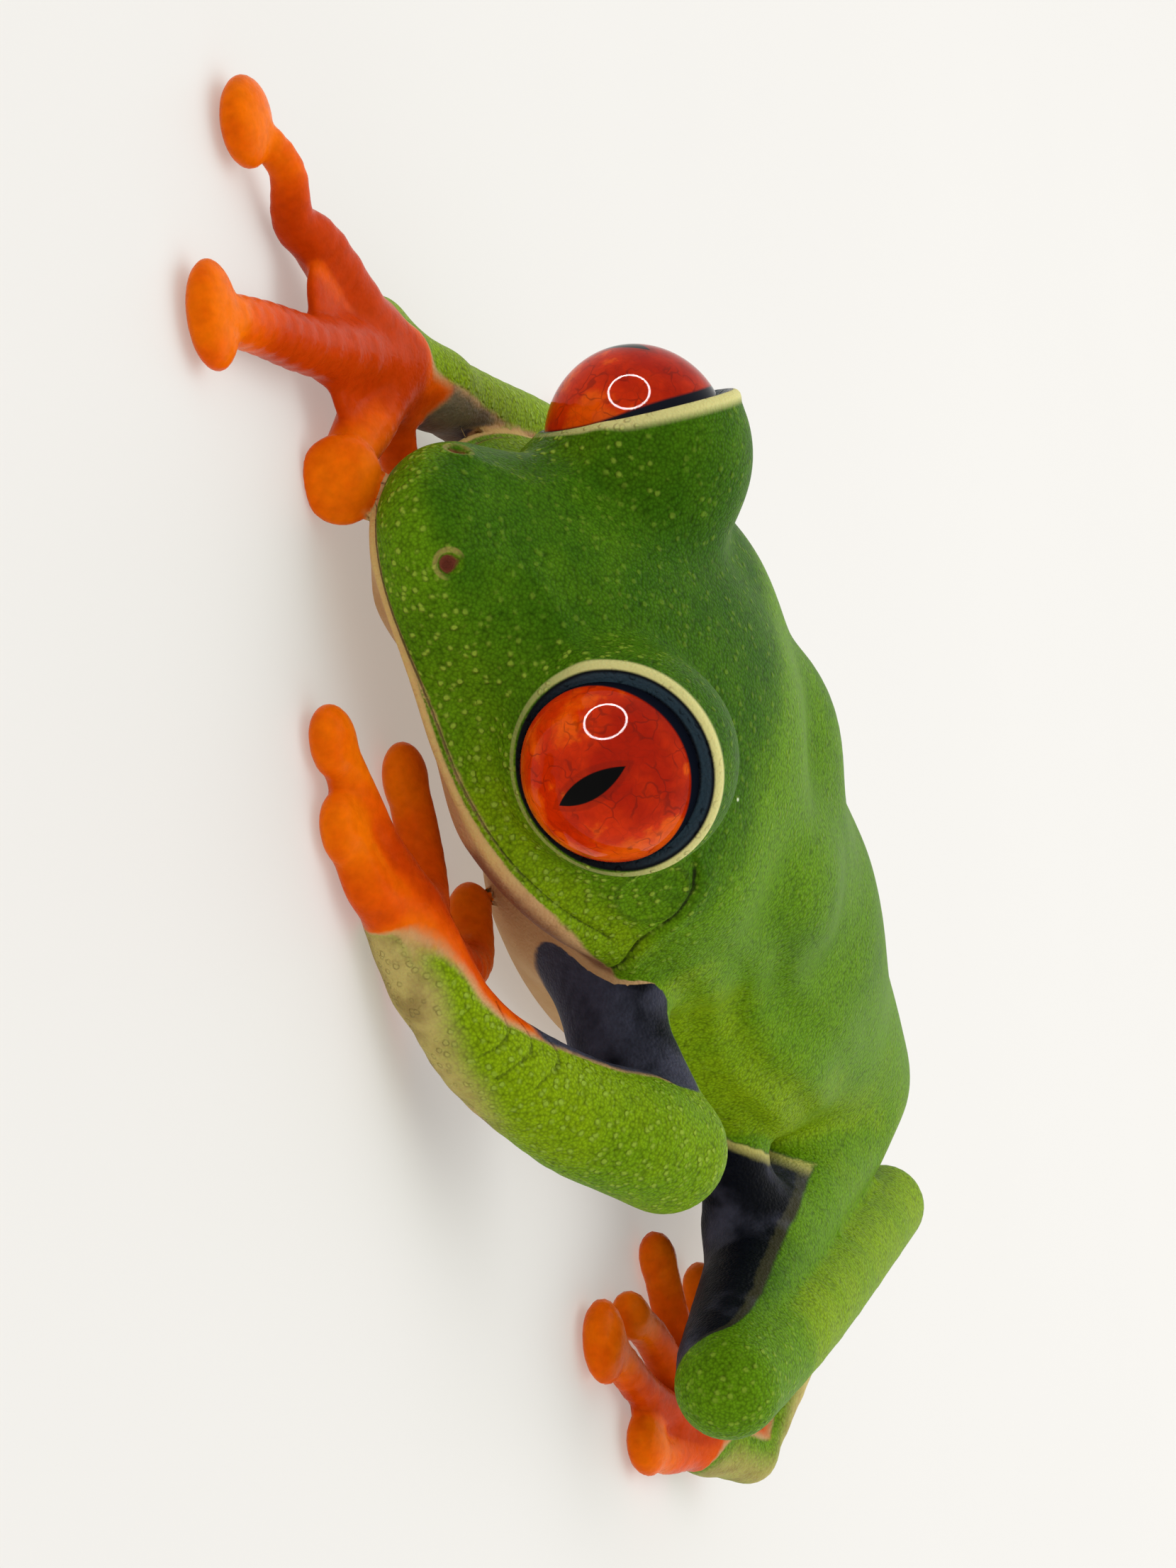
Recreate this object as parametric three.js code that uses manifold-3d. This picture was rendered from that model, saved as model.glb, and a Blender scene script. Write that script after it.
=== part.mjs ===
// Red-eyed tree frog, life size: a crouching adult whose right hand reaches forward past the snout.
// Millimetres, +Z up. While it is built the frog faces -Y, with its own left side on +X and the floor
// at Z = 0; at the end the group moves so that its origin is the middle of its box, on the floor.
import * as THREE from "three";
import { mergeVertices } from "three/addons/utils/BufferGeometryUtils.js";
import Module from "manifold-3d";

const wasm = await Module();
wasm.setup();

// ---------------------------------------------------------------- driving dimensions

const GAP = 0.3; // left between neighbouring pieces
const EYE_RADIUS = 3.45;
const EYE_SPACING = 14.8; // between the centres of the eyeballs
const LID_DEPTH = 0.85; // from the centre of an eyeball out to the plane of its lids
const LID_SPACE = 4.7; // radius of the space in front of the lids
const SOCKET_RADIUS = 3.95;
const SOCKET_DEPTH = 0.35; // from the centre of an eyeball back to that of its socket
const MOUND_RADIUS = 3.3; // the swelling of the skull under a socket
const MOUND_DEPTH = 1.5;
const GAZE_UP = 10; // degrees that the lids' axis rises from the line of the head
const GAZE_OUT = 48; // degrees that it turns outwards
const DIGIT_SIDES = 8;
const LIMB_SIDES = 10;

const HEAD_ORIGIN = [0, -18, 9.45]; // midway between the eyeballs
const HEAD_FORWARD = [-0.074, -0.94, -0.333];
const HEAD_LEFT = [0.997, -0.08, 0.002];

const SKIN = { green: 0x4a9a2a, navy: 0x2b3a5e, orange: 0xe4600f, eye: 0xc42a0c };

const v3 = (a) => new THREE.Vector3(...a);

// ---------------------------------------------------------------- fields
// A field gives the signed distance, roughly, from a point to a shape: negative inside.

const WORLD_AXES = [v3([1, 0, 0]), v3([0, 1, 0]), v3([0, 0, 1])];

// An ellipsoid with radii along three axes, by the scaled length of the point and of its gradient.
function ellipsoid(centre, radii, axes = WORLD_AXES) {
  return (point) => {
    const offset = point.clone().sub(centre);
    const q = axes.map((axis, i) => offset.dot(axis) / radii[i]);
    const near = Math.hypot(...q);
    const slope = Math.hypot(...q.map((x, i) => x / radii[i]));
    return (near * (near - 1)) / Math.max(slope, 1e-9);
  };
}

// A round cone: the hull of a ball of one radius at a and a ball of another at b.
function roundCone(a, b, radiusA, radiusB) {
  const axis = b.clone().sub(a);
  const length = axis.length();
  axis.divideScalar(length);
  const sine = (radiusA - radiusB) / length;
  const cosine = Math.sqrt(1 - sine * sine);
  return (point) => {
    const offset = point.clone().sub(a);
    const along = offset.dot(axis);
    const out = Math.sqrt(Math.max(offset.lengthSq() - along * along, 0));
    const foot = along * cosine - out * sine;
    if (foot < 0) return offset.length() - radiusA;
    if (foot > length * cosine) return Math.hypot(along - length, out) - radiusB;
    return out * cosine + along * sine - radiusA;
  };
}

// The union of several fields, rounded off over the width k where they meet.
function blend(k, fields) {
  const join = (a, b) => {
    const h = Math.max(k - Math.abs(a - b), 0) / k;
    return Math.min(a, b) - (h * h * k) / 4;
  };
  return (point) => fields.map((field) => field(point)).reduce(join);
}

// Round cones strung along points, with a radius at each point.
const chain = (points, radii) =>
  points.slice(1).map((point, i) => roundCone(points[i], point, radii[i], radii[i + 1]));

// ---------------------------------------------------------------- head and trunk

const forward = v3(HEAD_FORWARD).normalize();
const left = v3(HEAD_LEFT);
left.addScaledVector(forward, -left.dot(forward)).normalize();
const up = forward.clone().cross(left);
const HEAD_AXES = [forward, left, up];

// A point given by its places ahead of, to the left of and above the head's origin.
function inHead(ahead, leftward, above) {
  return v3(HEAD_ORIGIN)
    .addScaledVector(forward, ahead)
    .addScaledVector(left, leftward)
    .addScaledVector(up, above);
}

const headEllipsoid = (place, radii) => ellipsoid(inHead(...place), radii, HEAD_AXES);

const SIDES = { left: 1, right: -1 };

// The direction that the lids of one eye face.
function gaze(side) {
  const rise = THREE.MathUtils.degToRad(GAZE_UP);
  const turn = THREE.MathUtils.degToRad(GAZE_OUT);
  return new THREE.Vector3()
    .addScaledVector(forward, Math.cos(rise) * Math.cos(turn))
    .addScaledVector(left, side * Math.cos(rise) * Math.sin(turn))
    .addScaledVector(up, Math.sin(rise));
}

const eyeCentre = (side) => inHead(0, (side * EYE_SPACING) / 2, 0);
const behindEye = (side, depth) => eyeCentre(side).addScaledVector(gaze(side), -depth);
const socketCentre = (side) => behindEye(side, SOCKET_DEPTH);

const skull = [
  headEllipsoid([-3.5, 0, -2.6], [9.5, 7.6, 4.4]), // braincase
  headEllipsoid([3.0, 0, -3.0], [6.4, 4.8, 2.6]), // muzzle
  headEllipsoid([6.0, 0, -3.2], [3.1, 3.1, 1.75]), // tip of the snout
  headEllipsoid([4.0, 0, -4.4], [4.4, 4.7, 1.8]), // lips
  headEllipsoid([-4.0, 0, -5.6], [10.7, 10.5, 2.5]), // lower jaw
];
for (const side of Object.values(SIDES)) {
  skull.push(headEllipsoid([-5.8, side * 5.8, -3.5], [5.8, 3.6, 3.4])); // cheek
  const mound = [MOUND_RADIUS, MOUND_RADIUS, MOUND_RADIUS];
  skull.push(ellipsoid(behindEye(side, MOUND_DEPTH), mound)); // under the eye socket
}

const torso = [
  ellipsoid(v3([0, -8, 7.4]), [6.8, 5.5, 4.6]), // neck
  ellipsoid(v3([0, -1, 7.2]), [7.3, 8, 5.6]), // chest
  ellipsoid(v3([0, 7, 6.8]), [7.2, 9, 5.2]), // belly
  ellipsoid(v3([0, -1, 4.1]), [7.6, 10.5, 3.7]), // sagging underside
  ellipsoid(v3([0, 9, 5.0]), [7.6, 9, 4.3]),
  ellipsoid(v3([0, 14, 6.6]), [5.6, 8, 3.95]), // loins
  ellipsoid(v3([0, 21.3, 7.0]), [3.5, 5.5, 2.6]), // rump
];
for (const side of Object.values(SIDES)) {
  torso.push(
    ellipsoid(v3([side * 3.6, -3.0, 9.8]), [2.9, 5.4, 2.9]), // shoulder blade
    ellipsoid(v3([side * 5.2, -9.5, 7.4]), [3.6, 5, 3.8]), // side of the neck
    ellipsoid(v3([side * 6.2, -5.6, 6.9]), [3.6, 5.5, 3.4]), // shoulder
    ellipsoid(v3([side * 4.6, -1.8, 2.7]), [4.2, 9.5, 2.6]), // side of the chest, on the floor
    ellipsoid(v3([side * 4.5, 6.4, 5.4]), [4.4, 8.6, 4.2]), // flank
  );
}

const bodyField = blend(2.0, [blend(1.6, skull), blend(2.0, torso)]);
const NECK = v3([0, -9.0, 8.6]);

// ---------------------------------------------------------------- surfaces

// How far a ray from inside a shape runs before its field passes the level.
function reach(origin, direction, field, level) {
  const STEP = 0.35;
  const LONGEST = 16;
  const at = (distance) => field(origin.clone().addScaledVector(direction, distance)) - level;
  let outside = STEP;
  while (at(outside) < 0 && outside < LONGEST) outside += STEP;
  let inside = outside - STEP;
  for (let halving = 0; halving < 12; halving++) {
    const middle = (inside + outside) / 2;
    if (at(middle) < 0) inside = middle;
    else outside = middle;
  }
  return outside;
}

// A closed surface round a spine: rows of rays stand square to the spine, and fan out round its two
// ends, in fan steps, to a pole. Each vertex is where its ray passes the level of the field. With
// crowd over 1 the rows draw together towards the spine's far end.
function skinAround({ spine, field, rows, sides, crowd = 1, fan = 2 }, level) {
  const curve = new THREE.CatmullRomCurve3(spine, false, "centripetal");
  const frames = curve.computeFrenetFrames(rows, false);
  const positions = [];
  const pole = (origin, direction) => {
    const distance = reach(origin, direction, field, level);
    positions.push(...origin.clone().addScaledVector(direction, distance));
  };
  const row = (share, tilt) => {
    const place = Math.round(share * rows);
    const origin = curve.getPointAt(share);
    for (let j = 0; j < sides; j++) {
      const turn = (j / sides) * 2 * Math.PI;
      const direction = new THREE.Vector3()
        .addScaledVector(frames.normals[place], Math.cos(turn) * Math.cos(tilt))
        .addScaledVector(frames.binormals[place], Math.sin(turn) * Math.cos(tilt))
        .addScaledVector(frames.tangents[place], Math.sin(tilt));
      pole(origin, direction);
    }
  };
  const fanTilt = (k) => ((k / fan) * Math.PI) / 2;
  pole(spine[0], frames.tangents[0].clone().negate());
  for (let k = fan - 1; k > 0; k--) row(0, -fanTilt(k));
  for (let i = 0; i <= rows; i++) row(1 - (1 - i / rows) ** crowd, 0);
  for (let k = 1; k < fan; k++) row(1, fanTilt(k));
  pole(spine.at(-1), frames.tangents.at(-1));

  const ringCount = (positions.length / 3 - 2) / sides;
  const last = positions.length / 3 - 1;
  const vertex = (ring, j) => 1 + ring * sides + (j % sides);
  const index = [];
  for (let j = 0; j < sides; j++) {
    index.push(0, vertex(0, j + 1), vertex(0, j));
    index.push(last, vertex(ringCount - 1, j), vertex(ringCount - 1, j + 1));
    for (let ring = 0; ring + 1 < ringCount; ring++) {
      index.push(vertex(ring, j), vertex(ring, j + 1), vertex(ring + 1, j + 1));
      index.push(vertex(ring, j), vertex(ring + 1, j + 1), vertex(ring + 1, j));
    }
  }
  const geometry = new THREE.BufferGeometry();
  geometry.setAttribute("position", new THREE.Float32BufferAttribute(positions, 3));
  geometry.setIndex(index);
  return geometry;
}

// ---------------------------------------------------------------- solids

function toSolid(geometry) {
  geometry.deleteAttribute("normal");
  geometry.deleteAttribute("uv");
  const merged = mergeVertices(geometry, 1e-5);
  return new wasm.Manifold(
    new wasm.Mesh({
      numProp: 3,
      vertProperties: merged.getAttribute("position").array,
      triVerts: new Uint32Array(merged.index.array),
    }),
  );
}

function toGeometry(solid) {
  const { vertProperties, triVerts } = solid.getMesh();
  const geometry = new THREE.BufferGeometry();
  geometry.setAttribute("position", new THREE.BufferAttribute(vertProperties, 3));
  geometry.setIndex(new THREE.BufferAttribute(triVerts, 1));
  geometry.computeVertexNormals();
  return geometry;
}

const SPACE = 120; // side of a box that covers half of the frog's space

// All that lies beyond a plane, on the side its normal points to.
function beyond(point, normal) {
  const box = new THREE.BoxGeometry(SPACE, SPACE, SPACE);
  const turn = new THREE.Quaternion().setFromUnitVectors(WORLD_AXES[2], normal);
  box.applyQuaternion(turn);
  box.translate(...point.clone().addScaledVector(normal, SPACE / 2));
  return toSolid(box);
}

const underFloor = beyond(v3([0, 0, 0]), v3([0, 0, -1]));

const BALL_SIDES = 20;
const BALL_RINGS = 12;

// A ball whose poles lie on an axis, so that its rings run parallel to a cut across that axis.
function ball(centre, radius, axis) {
  const sphere = new THREE.SphereGeometry(radius, BALL_SIDES, BALL_RINGS);
  sphere.applyQuaternion(new THREE.Quaternion().setFromUnitVectors(WORLD_AXES[1], axis));
  return toSolid(sphere.translate(...centre));
}

// The space in front of one eye's lids.
function lidSpace(side) {
  const axis = gaze(side);
  const cylinder = new THREE.CylinderGeometry(LID_SPACE, LID_SPACE, LID_SPACE, 24);
  cylinder.applyQuaternion(new THREE.Quaternion().setFromUnitVectors(WORLD_AXES[1], axis));
  cylinder.translate(...eyeCentre(side).addScaledVector(axis, LID_DEPTH + LID_SPACE / 2));
  return toSolid(cylinder);
}

const SHORTEST_EDGE = 0.02;

// The biggest body of a solid, without the slivers that its cuts leave.
function largest(solid) {
  const body = solid.decompose().reduce((a, b) => (b.volume() > a.volume() ? b : a));
  return body.simplify(SHORTEST_EDGE);
}

// ---------------------------------------------------------------- limbs
// Each limb is a list of pieces in order from the body outwards: [name, points, radii, colour].

const pieces = new Map();

function addPiece(name, piece) {
  pieces.set(name, { field: blend(0.6, piece.parts), ...piece });
}

function addBone(name, points, radii, colour) {
  const spine = points.map(v3);
  const parts = chain(spine, radii);
  addPiece(name, { spine, parts, rows: 5, sides: LIMB_SIDES, fan: 3, colour });
}

// A pad lies flat: an ellipsoid with its length along the line from one point to the next.
function flatPad(centre, towards, radii) {
  const along = v3(towards).sub(v3(centre)).setZ(0).normalize();
  const across = new THREE.Vector3(-along.y, along.x, 0);
  return ellipsoid(v3(centre), radii, [along, across, WORLD_AXES[2]]);
}

// A palm or sole: a bone that widens into a flat pad, with webs between the roots of its digits.
function addPad(name, points, radii, pad, webs = []) {
  const spine = points.map(v3);
  const parts = [...chain(spine, radii), flatPad(points.at(-1), points.at(-2), pad)];
  webs.forEach(({ centre, tip, size }) => parts.push(flatPad(centre, tip, size)));
  addPiece(name, { spine, parts, rows: 3, sides: LIMB_SIDES, colour: SKIN.orange });
}

const DISC = {
  wide: [1.55, 1.95, 0.78],
  large: [1.6, 1.75, 0.8],
  middle: [1.4, 1.3, 0.8],
  small: [1.2, 1.0, 0.78],
};
const TILTED_DISC = [1.65, 1.6, 0.85];
const TILT = v3([0.42, -0.62, 0.66]).normalize(); // the way that the tilted disc faces

// A flat round pad on the floor, or one that is tilted up to face ahead and outwards.
function discField(points, kind) {
  if (kind !== "tilted") return flatPad(points.at(-1), points.at(-2), DISC[kind]);
  const level = WORLD_AXES[2].clone().cross(TILT).normalize();
  return ellipsoid(v3(points.at(-1)), TILTED_DISC, [level, TILT.clone().cross(level), TILT]);
}

// A digit: slim bones that end in a round disc.
function addDigit(name, points, radii, kind) {
  const spine = points.map(v3);
  const parts = [...chain(spine, radii), discField(points, kind)];
  addPiece(name, { spine, parts, rows: 4, sides: DIGIT_SIDES, crowd: 1.7, colour: SKIN.orange });
}

const TOE_RADII = [0.95, 0.75, 0.7, 0.7];

function addArm(side, arm) {
  addBone(`upper_arm_${side}`, arm.upper, [2.4, 1.8, arm.girth], SKIN.navy);
  addBone(`forearm_${side}`, arm.fore, arm.foreRadii, SKIN.green);
  const wristRadius = arm.foreRadii.at(-1);
  addPad(`hand_${side}`, [arm.fore.at(-1), arm.palm], [wristRadius, 1.3], arm.palmPad, arm.webs);
  arm.fingers.forEach(({ points, radii, disc }, i) => {
    addDigit(`finger_${i + 1}_${side}`, [arm.palm, ...points], radii, disc);
  });
}

const ELBOW_LEFT = [16.2, -5.0, 7.3];
addArm("left", {
  girth: 2.2,
  upper: [[6.0, -7.0, 4.6], [10.2, -6.4, 5.2], ELBOW_LEFT],
  fore: [ELBOW_LEFT, [16.4, -7.1, 6.6], [16.5, -9.5, 5.2], [15.8, -13.6, 3.2], [14.2, -16.4, 2.1]],
  foreRadii: [2.4, 2.4, 2.2, 1.8, 1.45],
  palm: [12.2, -18.4, 1.5],
  palmPad: [2.4, 1.9, 1.05],
  webs: [
    { centre: [11.6, -15.6, 1.5], tip: [10.0, -11.4, 1.2], size: [2.8, 1.5, 0.55] },
    { centre: [11.2, -19.2, 1.3], tip: [8.6, -19.4, 1.0], size: [1.9, 1.7, 0.5] },
  ],
  fingers: [
    {
      points: [[11.8, -13.4, 1.5], [10.2, -10.5, 1.2], [7.7, -9.8, 0.85]],
      radii: [1.0, 0.95, 0.9, 0.85],
      disc: "small",
    },
    {
      points: [[10.4, -16.0, 1.3], [7.9, -16.1, 1.05], [5.9, -17.1, 0.8]],
      radii: [1.1, 0.95, 0.8, 0.75],
      disc: "middle",
    },
    {
      points: [[10.4, -21.2, 1.2], [9.2, -22.6, 0.95], [8.2, -24.2, 0.75]],
      radii: [1.0, 0.85, 0.75, 0.7],
      disc: "middle",
    },
    {
      points: [[12.5, -20.6, 1.2], [11.7, -21.8, 0.95], [10.9, -22.7, 0.75]],
      radii: [1.0, 0.85, 0.75, 0.7],
      disc: "middle",
    },
  ],
});

const ELBOW_RIGHT = [-12.2, -8.5, 3.8];
addArm("right", {
  girth: 1.7,
  upper: [[-5.6, -5.6, 4.8], [-9.0, -6.8, 4.4], ELBOW_RIGHT],
  fore: [ELBOW_RIGHT, [-11.6, -12.2, 3.2], [-10.3, -16.2, 2.7], [-9.0, -20.2, 2.3]],
  foreRadii: [1.65, 1.65, 1.55, 1.45],
  palm: [-8.2, -23.6, 1.7],
  palmPad: [2.9, 2.4, 1.1],
  webs: [
    { centre: [-7.5, -27.6, 1.3], tip: [-7.2, -30.3, 1.0], size: [3.0, 2.1, 0.5] },
    { centre: [-6.0, -25.8, 1.3], tip: [-4.6, -27.2, 1.0], size: [2.4, 2.0, 0.5] },
  ],
  fingers: [
    {
      points: [[-6.5, -20.8, 1.1], [-5.9, -18.6, 0.8], [-5.7, -17.8, 0.75]],
      radii: [0.95, 0.75, 0.66, 0.6],
      disc: "small",
    },
    {
      points: [[-5.2, -24.4, 1.4], [-3.2, -25.4, 1.2], [-1.7, -25.9, 1.1]],
      radii: [1.3, 1.1, 0.95, 0.8],
      disc: "tilted",
    },
    {
      points: [[-4.9, -29.8, 1.3], [-3.0, -34.0, 1.05], [-1.3, -37.5, 0.75]],
      radii: [1.3, 1.05, 0.95, 0.85],
      disc: "wide",
    },
    {
      points: [[-9.2, -29.6, 1.3], [-9.2, -31.6, 0.95], [-10.1, -33.6, 1.35], [-10.5, -36.0, 0.75]],
      radii: [1.1, 0.95, 0.75, 0.62, 0.6],
      disc: "large",
    },
  ],
});

function addLeg(side, leg) {
  addBone(`thigh_${side}`, leg.thigh, leg.thighRadii, SKIN.navy);
  addBone(`shank_${side}`, leg.shank, leg.shankRadii, SKIN.green);
  addBone(`tarsus_${side}`, leg.tarsus, [1.6, 1.2, 1.15], SKIN.green);
  const ankle = leg.tarsus.at(-1);
  addPad(`foot_${side}`, [ankle, leg.sole], [1.15, 1.2], [2.0, 1.5, 1.0]);
  leg.toes.forEach(({ points, disc }, i) => {
    const radii = TOE_RADII.slice(0, points.length + 1);
    addDigit(`toe_${i + 1}_${side}`, [leg.sole, ...points], radii, disc);
  });
}

addLeg("left", {
  thigh: [[3.2, 23.0, 5.4], [8.8, 17.6, 5.3], [14.0, 13.0, 5.5], [19.2, 8.6, 5.6]],
  thighRadii: [2.8, 2.6, 2.1, 1.8],
  shank: [[20.3, 8.3, 6.0], [14.1, 15.8, 6.8], [4.1, 28.2, 6.9]],
  shankRadii: [2.15, 2.0, 1.85],
  tarsus: [[4.1, 28.2, 6.4], [10.0, 26.4, 4.0], [17.2, 23.2, 2.4]],
  sole: [17.8, 19.6, 1.4],
  toes: [
    { points: [[13.0, 20.8, 1.0], [10.4, 21.0, 0.8]], disc: "small" },
    { points: [[13.6, 16.6, 0.95], [11.6, 14.9, 0.8]], disc: "small" },
    { points: [[15.6, 14.6, 0.95], [15.5, 11.6, 0.8]], disc: "small" },
    { points: [[18.2, 13.5, 0.95], [17.95, 9.6, 0.8], [17.9, 8.4, 0.75]], disc: "large" },
    { points: [[19.5, 17.0, 1.0], [20.1, 15.0, 0.8], [20.0, 14.3, 0.75]], disc: "middle" },
  ],
});

addLeg("right", {
  thigh: [[-3.4, 23.2, 5.0], [-7.2, 14.5, 4.1], [-12.4, 1.6, 3.1]],
  thighRadii: [2.8, 2.7, 2.1],
  shank: [[-13.4, 1.4, 3.3], [-14.4, 13.5, 3.3], [-12.8, 27.0, 3.4]],
  shankRadii: [2.2, 2.2, 1.9],
  tarsus: [[-12.8, 27.0, 3.1], [-15.6, 22.4, 2.4], [-18.0, 14.6, 1.7]],
  sole: [-18.6, 11.0, 1.3],
  toes: [
    { points: [[-16.2, 9.6, 0.95], [-14.6, 8.6, 0.8]], disc: "small" },
    { points: [[-17.0, 7.4, 0.95], [-15.6, 5.2, 0.8]], disc: "small" },
    { points: [[-18.0, 6.2, 0.95], [-17.2, 2.6, 0.8]], disc: "small" },
    { points: [[-19.2, 5.4, 0.95], [-19.4, 1.4, 0.8], [-19.4, 0.4, 0.75]], disc: "large" },
    { points: [[-20.6, 8.6, 1.0], [-21.9, 6.0, 0.8], [-22.2, 5.2, 0.75]], disc: "middle" },
  ],
});

// ---------------------------------------------------------------- cuts between pieces

// Two pieces that share a joint are parted by one flat cut through it, halfway between their bones.
const joints = [];

function addJoint(nameA, nameB, at, boneA, boneB) {
  const away = boneA.clone().normalize().sub(boneB.clone().normalize()).normalize();
  joints.push({ names: [nameA, nameB], at, away });
}

for (const side of Object.keys(SIDES)) {
  const chainOf = ["upper_arm", "forearm", "hand"].map((name) => `${name}_${side}`);
  const legOf = ["shank", "tarsus", "foot"].map((name) => `${name}_${side}`);
  for (const names of [chainOf, legOf]) {
    names.slice(1).forEach((next, i) => {
      const above = pieces.get(names[i]).spine;
      const below = pieces.get(next).spine;
      const at = below[0].clone().add(above.at(-1)).divideScalar(2);
      addJoint(names[i], next, at, above.at(-2).clone().sub(at), below[1].clone().sub(at));
    });
  }
  const thigh = pieces.get(`thigh_${side}`).spine;
  const shank = pieces.get(`shank_${side}`).spine;
  const knee = thigh.at(-1).clone().add(shank[0]).divideScalar(2);
  const toHip = thigh[0].clone().sub(knee);
  const toHeel = shank.at(-1).clone().sub(knee);
  addJoint(`thigh_${side}`, `shank_${side}`, knee, toHip, toHeel);
}
const jointOf = (a, b) => joints.find(({ names }) => names.includes(a) && names.includes(b));

// ---------------------------------------------------------------- assembly

const made = new Map();
const colours = new Map();

function keep(name, solid, colour) {
  made.set(name, solid);
  colours.set(name, colour);
}

// Head and trunk come from one field, parted by a flat cut through the neck.
const AXIS_BACK = v3([0, 1, 0]);
const headSurface = {
  spine: [v3([0, -6, 8.2]), inHead(-6, 0, -2.2), inHead(0, 0, -2.8), inHead(5.6, 0, -3.1)],
  field: bodyField,
  rows: 13,
  sides: 26,
  fan: 3,
};
const trunkSurface = {
  spine: [v3([0, -12, 7.6]), v3([0, -2, 7.2]), v3([0, 12, 6.9]), v3([0, 23.5, 7.0])],
  field: bodyField,
  rows: 15,
  sides: 20,
  fan: 3,
};
let head = toSolid(skinAround(headSurface, 0));
head = head.subtract(beyond(NECK.clone().addScaledVector(AXIS_BACK, -GAP / 2), AXIS_BACK));
for (const [side, sign] of Object.entries(SIDES)) {
  const axis = gaze(sign);
  head = head.add(ball(socketCentre(sign), SOCKET_RADIUS, axis)).subtract(lidSpace(sign));
  head = head.subtract(ball(eyeCentre(sign), EYE_RADIUS + GAP, axis));
  keep(`eye_${side}`, ball(eyeCentre(sign), EYE_RADIUS, axis), SKIN.eye);
}
keep("head", largest(head), SKIN.green);
const AXIS_FRONT = AXIS_BACK.clone().negate();
const neckEnd = NECK.clone().addScaledVector(AXIS_BACK, GAP / 2);
const trunk = toSolid(skinAround(trunkSurface, 0)).subtract(beyond(neckEnd, AXIS_FRONT));
keep("trunk", largest(trunk.subtract(underFloor)), SKIN.green);
const bodyClearance = [headSurface, trunkSurface].map((s) => toSolid(skinAround(s, GAP)));

for (const [name, piece] of pieces) {
  let solid = toSolid(skinAround(piece, 0)).subtract(underFloor);
  for (const { names, at, away } of joints.filter((joint) => joint.names.includes(name))) {
    const outward = names[0] === name ? away.clone().negate() : away.clone();
    solid = solid.subtract(beyond(at.clone().addScaledVector(outward, -GAP / 2), outward));
  }
  for (const clearance of bodyClearance) solid = solid.subtract(clearance);
  for (const [other, earlier] of pieces) {
    if (other === name) break;
    if (jointOf(name, other)) continue;
    earlier.clearance ??= toSolid(skinAround(earlier, GAP));
    solid = solid.subtract(earlier.clearance);
  }
  keep(name, largest(solid), piece.colour);
}

const frog = new THREE.Group();
for (const [name, solid] of made) {
  const wet = name.startsWith("eye");
  const material = new THREE.MeshStandardMaterial({
    color: colours.get(name),
    roughness: wet ? 0.08 : 0.45,
    metalness: 0,
    flatShading: false,
  });
  const mesh = new THREE.Mesh(toGeometry(solid), material);
  mesh.name = name;
  frog.add(mesh);
}

// The origin: the middle of the frog's box, on the floor.
const box = new THREE.Box3().setFromObject(frog);
const middle = box.getCenter(new THREE.Vector3());
frog.position.set(-middle.x, -middle.y, -box.min.z);

const model = new THREE.Group();
model.add(frog);

export default model;
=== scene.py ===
"""Red-eyed tree frog: skin, eyes, floor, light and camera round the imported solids.

Shapes are worked out in millimetres in the frog's own frame, where it faces -Y with its left side on
+X and the floor at Z = 0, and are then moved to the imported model's place, in metres.
"""

import math

import bpy
import numpy as np
from mathutils import Matrix, Vector


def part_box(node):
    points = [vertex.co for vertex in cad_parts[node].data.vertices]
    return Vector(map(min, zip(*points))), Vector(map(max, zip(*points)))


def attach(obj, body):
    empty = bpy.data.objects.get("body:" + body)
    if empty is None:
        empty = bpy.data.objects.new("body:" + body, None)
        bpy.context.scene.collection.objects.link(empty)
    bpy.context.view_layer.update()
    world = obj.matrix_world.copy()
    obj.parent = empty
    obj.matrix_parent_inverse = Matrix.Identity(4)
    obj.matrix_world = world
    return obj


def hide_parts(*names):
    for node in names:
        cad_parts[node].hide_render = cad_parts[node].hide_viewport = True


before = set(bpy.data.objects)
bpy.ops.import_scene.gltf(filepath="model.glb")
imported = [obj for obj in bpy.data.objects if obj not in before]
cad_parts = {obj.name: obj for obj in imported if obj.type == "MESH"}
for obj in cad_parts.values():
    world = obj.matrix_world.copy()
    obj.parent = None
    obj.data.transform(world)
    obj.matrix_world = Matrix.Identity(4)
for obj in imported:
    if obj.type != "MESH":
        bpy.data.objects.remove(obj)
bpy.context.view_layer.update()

bl_info = {
    "name": "Red-eyed tree frog",
    "version": (1, 0, 0),
    "blender": (4, 5, 0),
    "location": "3D View > Sidebar > Tree Frog",
    "description": "Skin, eyes and studio for a life-size model of a red-eyed tree frog",
    "category": "Add Mesh",
}

MM = 0.001

# ---------------------------------------------------------------- the frog's frame and its head's


def unit(vector):
    """The vector divided by its length."""
    vector = np.asarray(vector, float)
    return vector / np.linalg.norm(vector, axis=-1, keepdims=True)


HEAD_ORIGIN = np.array([0.0, -18.0, 9.45])  # midway between the eyeballs
EYE_RADIUS = 3.45
EYE_SPACING = 14.8
LID_DEPTH = 0.85  # from the centre of an eyeball out to the plane of its lids
LID_SPACE = 4.7  # radius of the space that is cut clear in front of the lids
LID_OPENING = 3.68  # radius of the ring that the lid margins make
LID_MARGIN = 0.24  # radius of the rounded margin itself
LID_INSET = 0.08  # how far behind the plane of the lids the margin's centre line runs
LID_LIFT = 0.28  # how far up that ring's centre lies from the eyeball's
LID_ROUNDING = 0.3
SOCKET_LIFT = 0.2  # how far up and how far in the socket's ball lies from the eyeball
SOCKET_DEPTH = 0.35
SOCKET_RADIUS = 4.05
MOUND_DEPTH = 1.5  # how far in the mound that carries the socket lies
MOUND_RADIUS = 3.3
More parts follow.
